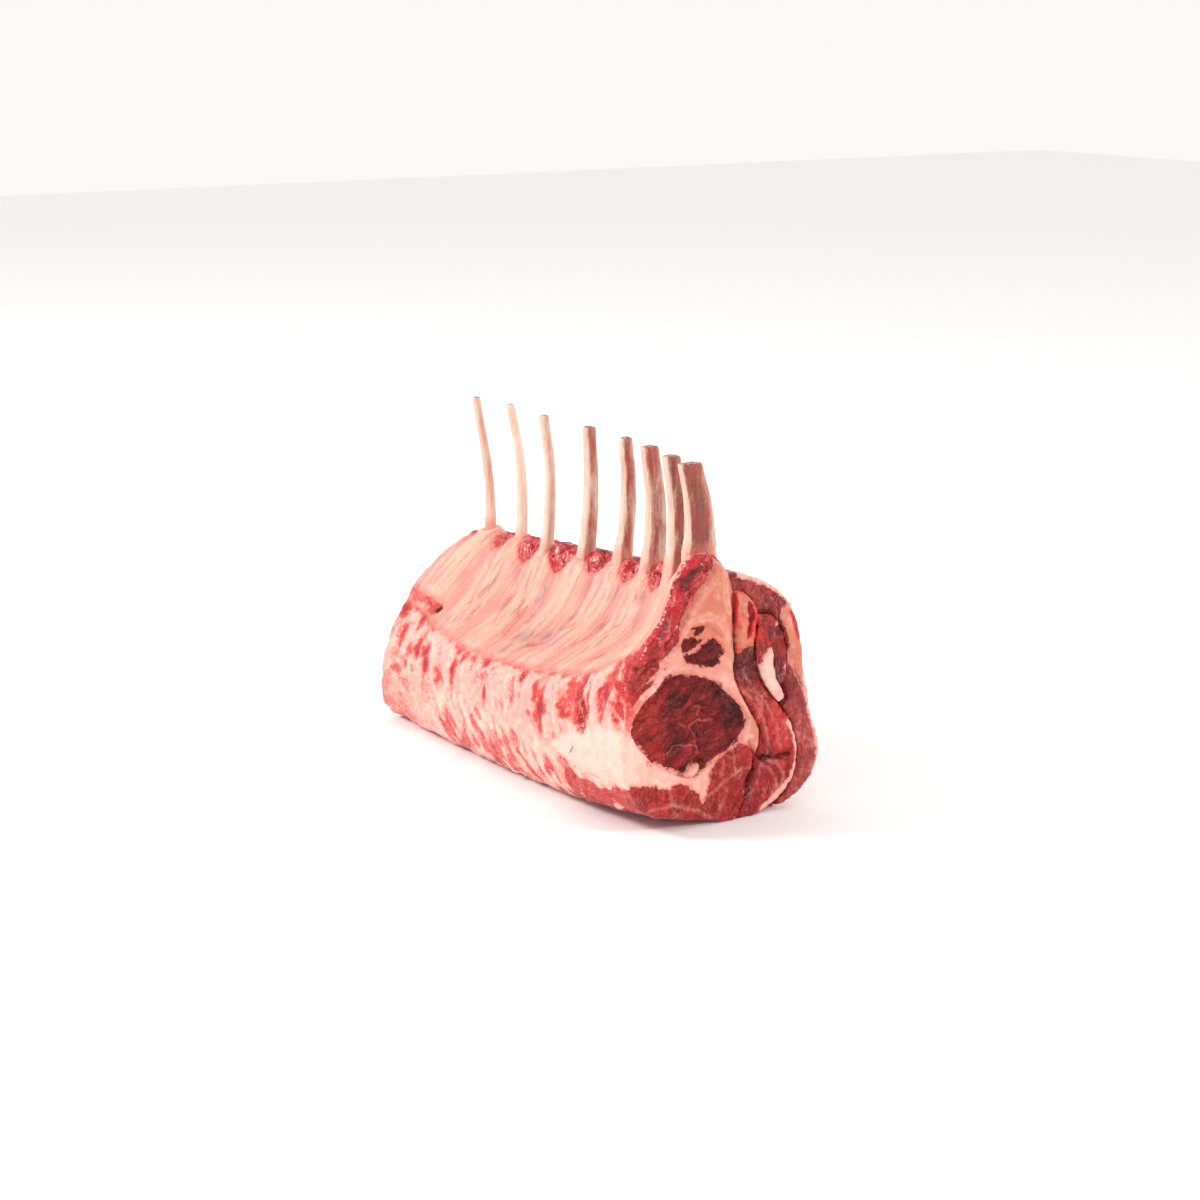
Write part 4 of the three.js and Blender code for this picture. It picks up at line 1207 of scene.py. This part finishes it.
class MeatFinish(Finish):
    # fat, then lean, blood marks, wet clots, membrane and painted shade in the creases laid over it in turn
    def __init__(self, name, **changes):
        super().__init__(name)
        self.look = {**meatLook, **changes}
        self.at = {name: self.field(name) for name in meatFields}
        self.broad = self.grain(11)
        self.patchy = self.grain(4.2, detail=3, roughness=0.6)
        self.fine = self.grain(1.3, detail=3, roughness=0.6)
        self.speck = self.grain(0.55, roughness=0.6)
        self.streak = self.grain(1.7, (1, 0.09, 0.09), 4, 0.5, 0.65)

    def ragged(self, value, patchy, fine, speck=0):
        # a field broken up by each size of grain
        value = value + (self.patchy - 0.5) * patchy + (self.fine - 0.5) * fine
        return value + (self.speck - 0.5) * speck if speck else value

    def leanLayer(self):
        # bundles of fibre of different tones, with thin pale lines between some of them
        look, stretch = self.look, self.look["fibreStretch"]
        swirled = self.bent(5, look["fibreBend"], self.turned(look["fibreTurn"]))
        bundle = self.cells(look["bundleSize"], "F1", stretch, "Color", swirled)
        between = self.cells(look["bundleSize"], "DISTANCE_TO_EDGE", stretch, place=swirled)
        strand = self.grain(0.9, stretch, 3, 0.6, 0.6, swirled)
        sheaf = self.grain(3.4, stretch, 3, 1.0, 0.6, swirled)
        depth = (self.at["dark"] + (self.broad - 0.5) * 0.75 + (bundle - 0.5) * look["bundleTone"]
                 + (strand - 0.5) * look["strandTone"] + (sheaf - 0.5) * look["patchDepth"])
        colour = self.blend(look["leanPale"], look["leanLight"], self.over(depth, -0.35, 0.05))
        colour = self.blend(colour, look["leanDeep"], self.over(depth, 0.1, 0.5))
        colour = self.blend(colour, look["leanDark"], self.over(depth, 0.55, 1.05))
        net = self.grain(look["marbleSize"], look["marbleStretch"], 4, 0.8, 0.7, swirled)
        marbled = self.over(self.broad + self.patchy * 0.4, 0.62, 0.85)
        veins = self.over(abs(net - 0.5), 0.035, 0.0) * marbled * look["marbleAmount"]
        seamEdge = self.ragged(self.at["seam"], 1.2, 1.3) + (strand - 0.5) * 1.2
        broken = self.over(self.patchy * 0.7 + strand * 0.5, 0.42, 0.72)
        seamLine = self.over(seamEdge, look["seamWidth"], 0) * broken * look["seamStrength"]
        colour = self.blend(colour, look["marbling"], (veins + seamLine).clamped())
        flecks = self.over(self.speck + strand * 0.9 + self.fine * 0.3, 1.2, 1.42)
        colour = self.blend(colour, look["leanPale"], flecks * look["paleFlecks"])
        relief = (strand - 0.5) * 0.5 + (self.over(between, 0.0, 0.2) - 0.8) * 0.2
        return colour, relief

    def fatLayer(self):
        # from white to salmon, softly mottled, with a few red flecks
        look, pale, salmon = self.look, self.at["pale"], self.at["salmon"]
        broad, patchy, fine = self.broad, self.patchy, self.fine
        cloudy = self.grain(look["fatPatch"], look["fatStretch"], 4, 0.8, 0.6)
        paleness = self.over(cloudy + fine * 0.3, 0.5, 0.8) * (0.7 - pale * 0.3) + pale
        colour = self.blend(look["fatPink"], look["fatPale"], paleness.clamped())
        orange = self.over(broad * 0.8 + patchy * 0.4, 0.56, 0.78)
        warm = self.blend(look["fatSalmon"], look["fatOrange"], orange)
        paleStreaks = self.over(patchy * 0.5 + self.streak * 0.6, 0.52, 0.74)
        warm = self.blend(warm, look["fatPale"], paleStreaks * 0.55)
        colour = self.blend(colour, warm, (salmon * (0.8 + 0.4 * fine)).clamped())
        colour = self.blend(colour, look["facetGrey"], self.at["grey"] * self.over(fine, 0.2, 0.6) * 0.8)
        reddish = (fine * 0.3 + patchy * 0.3 + broad * 0.3 + self.speck * 0.1 + self.at["blush"] * 0.14
                   - pale * 0.45 - salmon * 0.14)
        return self.blend(colour, look["fatRed"], self.over(reddish, 0.56, 0.67) * look["fatFlecks"])

    def markLayer(self, colour):
        # blood marks, soft at the edge and deeper in the middle
        look, mark = self.look, self.ragged(self.at["flush"], 0.7, 0.5)
        deeper = self.over(mark + (self.speck - 0.5) * 0.5, 0.55, 1.2)
        marks = self.blend(look["markLight"], look["markDeep"], deeper)
        return self.blend(colour, marks, self.over(mark, 0.14, 0.68) * look["markStrength"])

    def wetLayer(self):
        # granules and clots, with painted shade where the clots sink and painted highlight where the grains
        # stand up
        look, dark = self.look, self.at["dark"]
        aslant = self.turned(look["wetTurn"])
        granules = self.grain(1.8, (1, 0.4, 1), 3, 0.6, 0.6, aslant)
        clots = self.grain(6, (1, 0.35, 1), 3, 1.2, 0.5, aslant)
        # painted shade: deeper crimson where the clots sink
        deeper = self.over(clots + (granules - 0.5) * 0.6 + (dark - 0.3) * 0.45, 0.48, 0.78)
        colour = self.blend(look["crimson"], look["crimsonDark"], deeper)
        # partly the clots' own pink, partly painted highlight where the grains stand up
        pinkAndHighlight = granules * 0.5 + self.patchy * 0.45 + self.speck * 0.1 - clots * 0.35 - dark * 0.25
        colour = self.blend(colour, look["clotPinkAndHighlight"], self.over(pinkAndHighlight, 0.25, 0.45) * 0.8)
        relief = (granules - 0.5) * 0.4 - (clots - 0.5) * 0.7 + (self.speck - 0.5) * 0.08
        return colour, relief, self.over(self.ragged(self.at["wet"], 0.5, 0.6), 0.35, 0.6)

    def skinLayer(self):
        # the membrane: cream over the ribs, mauve between, streaked along them, with painted shade in its
        # folds
        look, streak, onRib = self.look, self.streak, self.at["onRib"]
        thread = self.grain(0.7, (1, 0.06, 0.06), 2, 0.3)
        wide = self.grain(4.5, (1, 0.15, 0.15), 3, 1.0, 0.6)
        colour = self.blend(look["membranePink"], look["membraneCream"],
                            self.over(onRib * 0.2 + streak * 0.5 + wide * 0.5, 0.46, 0.68))
        mauve = self.over(wide * 0.55 + streak * 0.45 - onRib * 0.15 + self.at["blush"] * 0.1, 0.45, 0.33)
        colour = self.blend(colour, look["membraneMauve"], mauve * 0.75)
        redThreads = self.over(streak * 0.6 + thread * 0.4 + (wide - 0.5) * 0.4, 0.58, 0.7)
        colour = self.blend(colour, look["membraneRed"], redThreads * 0.38)
        paleThreads = self.over(streak * 0.55 + thread * 0.45, 0.46, 0.34)
        colour = self.blend(colour, look["fatPale"], paleThreads * 0.7)
        # painted shade in the membrane's folds
        shaded = self.at["grey"] * self.over(streak + (wide - 0.5) * 0.6, 0.8, 0.5)
        colour = self.blend(colour, look["skinShade"], shaded)
        marked = self.at["flush"] + (streak - 0.5) * 1.4 + (self.fine - 0.5) * 0.6
        colour = self.blend(colour, look["markLight"], self.over(marked, 0.3, 1.1) * 0.7)
        relief = (streak - 0.5) * 0.6 + (wide - 0.5) * 0.6
        return colour, relief, self.over(self.ragged(self.at["membrane"], 2.4, 1.8), -0.2, 0.6)

    def made(self):
        look, membrane = self.look, self.at["membrane"]
        leanColour, leanRelief = self.leanLayer()
        wetColour, wetRelief, isWet = self.wetLayer()
        skinColour, skinRelief, isSkin = self.skinLayer()
        edge = self.ragged(self.at["lean"], 2.6, 2.2, 0.9)
        isLean = self.over(edge, -0.35, 0.45)
        colour = self.fatLayer()
        colour = self.blend(colour, look["fatRed"], self.over(edge, -2.0, -0.1) * look["fatEdge"])
        colour = self.blend(colour, leanColour, isLean)
        colour = self.markLayer(colour)
        colour = self.blend(colour, wetColour, isWet)
        colour = self.blend(colour, skinColour, isSkin)
        lip = self.over(abs(membrane - 0.5 + (self.patchy - 0.5) * 2), 1.6, 0.2) * self.over(membrane, -3, -1)
        colour = self.blend(colour, look["membraneRed"], lip * 0.4)
        # painted shade: creases, slits, cracks and the hole darkened
        shadedCrease = self.over(self.ragged(self.at["crease"], 0.6, 0.9), 0.7, 0.1)
        colour = self.blend(colour, look["creaseShade"], shadedCrease * look["creaseShadeStrength"])
        roughness = (look["roughness"] + (self.speck - 0.5) * 0.2 + (self.patchy - 0.5) * 0.25
                     - isWet * 0.14 + (1 - isLean) * 0.08 - isSkin * 0.05)
        bare = 1 - isSkin
        height = (self.fine * 0.22 + self.patchy * 0.3 + self.speck * 0.14 + isLean * bare * leanRelief
                  + isWet * bare * wetRelief + isSkin * skinRelief - shadedCrease * 0.35)
        coat = isWet * look["wetCoat"] + look["coat"] + isLean * look["leanCoat"]
        return self.close(look, colour, roughness.clamped(), height, coat.clamped())


boneLook = {
    "gloss": 0.3, "softLight": 0.1, "softDepth": 2.0, "coatRoughness": 0.2, "bumpDepth": 0.6,
    "roughness": 0.4, "coat": 0.12, "markStrength": 0.92, "redStrength": 0.6, "tipReach": 15,
    "cream": tone(220, 200, 182), "warm": tone(212, 166, 146), "grey": tone(190, 164, 148),
    "brown": tone(144, 74, 56), "brownDark": tone(70, 24, 17), "red": tone(150, 50, 40),
    "pink": tone(232, 126, 112), "marrow": tone(132, 62, 50),
}


def boneFinish():
    look = boneLook
    f = Finish("bone")
    side, tip, above, inner, upward, tipRed, whole, blush = (
        f.field(field) for field in (
            "stainSide", "tip", "above", "inner", "upward", "tipRed", "stainWhole", "blush"))
    streak = f.grain(1.2, (1, 1, 0.1), 3, 0.3)
    cloud = f.grain(5, (1, 1, 0.35), 2, 0.4)
    fine = f.grain(0.6, (1, 1, 0.4))
    colour = f.blend(look["cream"], look["warm"], f.over(streak * 0.6 + cloud * 0.6, 0.5, 0.8))
    colour = f.blend(colour, look["grey"], f.over(cloud, 0.62, 0.5) * whole * 0.3)
    colour = f.blend(colour, look["warm"], blush * f.over(cloud, 0.25, 0.6))
    # the brown-red stain down one side, partly a real stain and partly painted shade
    mark = side * (0.9 + (streak - 0.5) * 0.8 + (cloud - 0.5) + (fine - 0.5) * 0.5) - inner * 0.3
    stain = f.blend(look["brown"], look["brownDark"], f.over(mark + (fine - 0.5) * 0.4, 0.6, 1.25))
    redder = f.over(cloud + tipRed * 0.2, 0.52, 0.7) * look["redStrength"]
    stain = f.blend(stain, look["red"], redder)
    colour = f.blend(colour, stain, f.over(mark, 0.05, 0.9) * look["markStrength"])
    stained = tipRed * (1 - inner * 0.85) * f.over(side, 0.05, 0.3)
    nearTip = f.over(tip + (cloud - 0.5) * 12, look["tipReach"], 4) * stained
    colour = f.blend(colour, look["red"], nearTip * look["redStrength"])
    # a pink film at the foot, and the sawn end
    film = f.over(above + (cloud - 0.5) * 5, 5, -1)
    colour = f.blend(colour, look["pink"], film * (0.25 + 0.75 * blush))
    pores = f.cells(0.9)
    cut = f.blend(look["marrow"], look["warm"], f.over(pores, 0.5, 0.2))
    colour = f.blend(colour, cut, upward * 0.8)
    roughness = look["roughness"] + (fine - 0.5) * 0.25 + (cloud - 0.5) * 0.1
    height = streak * 0.5 + fine * 0.3 + upward * pores * 0.8
    return f.close(look, colour, roughness.clamped(), height, look["coat"])


# ---- the pieces

print("carving the body")
body = makeBody()
print("carving the muscles and the cap")
eye = makeEye()
small = makeSmall()
side = makeSide()
middleLeaf = makeLeaf("leaf_middle", "middle_leaf", True, 44, 0.5)
outerLeaf = makeLeaf("leaf_outer", "outer_leaf", False, 47, 0.82)
cap = makeCap()
print("shaping the bones")
bones = [makeRib(index) for index in range(len(ribPlaces))]

print("mixing the finishes")
eyeChanges = {
    "leanPale": tone(186, 88, 76), "leanLight": tone(152, 38, 36), "leanDeep": tone(106, 22, 22),
    "leanDark": tone(56, 10, 10), "marbling": tone(196, 104, 92), "marbleAmount": 0.2, "paleFlecks": 0.35,
    "fibreStretch": (0.6, 0.34, 1), "fibreTurn": (0.5, 0, 0), "fibreBend": 3.5, "bundleTone": 0.5,
    "strandTone": 1.2, "patchDepth": 1.6, "seamWidth": 1.0, "seamStrength": 0.8,
    "gloss": 0.16, "coat": 0.03, "leanCoat": 0.04,
}
capChanges = {
    "leanPale": tone(200, 108, 102), "leanLight": tone(166, 60, 57), "leanDeep": tone(126, 34, 35),
    "fibreStretch": (0.6, 1, 0.4), "marbleStretch": (0.6, 1, 0.4), "marbleAmount": 0.5,
    "fatPatch": 10, "fatStretch": (0.4, 1, 1),
}
finishes = {
    "body": MeatFinish("fat_and_membrane").made(),
    "eye": MeatFinish("eye_lean", **eyeChanges).made(),
    "side": MeatFinish("side_lean", fibreStretch=(1, 1, 0.35), marbleStretch=(1, 1, 0.35)).made(),
    "cap": MeatFinish("cap_fat", **capChanges).made(),
    "bone": boneFinish(),
}

pieces = [
    (body, "rack_body", "fat", "body"), (eye, "eye_muscle", "dark_lean", "eye"),
    (small, "small_muscle", "dark_lean", "eye"), (side, "side_muscle", "lean", "side"),
    (middleLeaf, "middle_leaf", "lean", "side"), (outerLeaf, "outer_leaf", "dark_lean", "side"),
    (cap, "outer_cap", "cap_fat", "cap"),
] + [(bone, "rib_%d" % (index + 1), "bone", "bone") for index, bone in enumerate(bones)]
for piece, node, slot, finish in pieces:
    piece.data.materials.clear()
    piece.data.materials.append(finishes[finish])
    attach(piece, "root")
    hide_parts(node)
    print(piece.name, len(piece.data.polygons), "faces")

# ---- board, light and camera

print("setting the light and the camera")
studio = {
    "floorSize": 6, "floorColour": (0.9, 0.9, 0.9, 1), "floorRoughness": 0.7, "floorGloss": 0.2,
    "worldColour": (1, 0.985, 0.975, 1), "worldStrength": 0.96,
    "key": {"place": (-0.6, -1.25, 1.0), "size": 0.45, "power": 21, "colour": (1, 0.97, 0.94)},
    "fill": {"place": (1.25, 0.55, 0.75), "size": 0.3, "power": 10, "colour": (1, 0.96, 0.93)},
    "cameraPlace": (0.85627, -0.55607, 0.31212), "lookAt": (0, 0, 0.067), "lens": 76.23, "sensor": 36,
}


def placed(name, data, place):
    # a new object at a place in metres, turned to the middle of the rack
    thing = bpy.data.objects.new(name, data)
    thing.location = place
    aim = Vector(studio["lookAt"]) - Vector(place)
    thing.rotation_euler = aim.to_track_quat("-Z", "Y").to_euler()
    bpy.context.scene.collection.objects.link(thing)
    return thing


for name in ("key", "fill"):
    lamp = studio[name]
    light = bpy.data.lights.new(name, "AREA")
    light.shape = "DISK"
    light.size = lamp["size"]
    light.energy = lamp["power"]
    light.color = lamp["colour"]
    placed(name, light, lamp["place"])

world = bpy.data.worlds.new("studio")
world.use_nodes = True
sky = world.node_tree.nodes["Background"]
sky.inputs["Color"].default_value = studio["worldColour"]
sky.inputs["Strength"].default_value = studio["worldStrength"]
bpy.context.scene.world = world

bm = bmesh.new()
bmesh.ops.create_grid(bm, x_segments=2, y_segments=2, size=studio["floorSize"] / 2)
floorMesh = bpy.data.meshes.new("floor")
bm.to_mesh(floorMesh)
bm.free()
floor = bpy.data.objects.new("floor", floorMesh)
bpy.context.scene.collection.objects.link(floor)
floorFinish = Finish("floor")
floorShader = floorFinish.add("ShaderNodeBsdfPrincipled", {}, {
    "Base Color": studio["floorColour"], "Roughness": studio["floorRoughness"],
    "Specular IOR Level": studio["floorGloss"]})
floorFinish.add("ShaderNodeOutputMaterial", {}, {"Surface": floorShader})
floorMesh.materials.append(floorFinish.material)

cameraData = bpy.data.cameras.new("camera")
cameraData.lens = studio["lens"]
cameraData.sensor_width = studio["sensor"]
cameraData.clip_start = 0.01
bpy.context.scene.camera = placed("camera", cameraData, studio["cameraPlace"])
bpy.context.scene.view_settings.view_transform = "Standard"
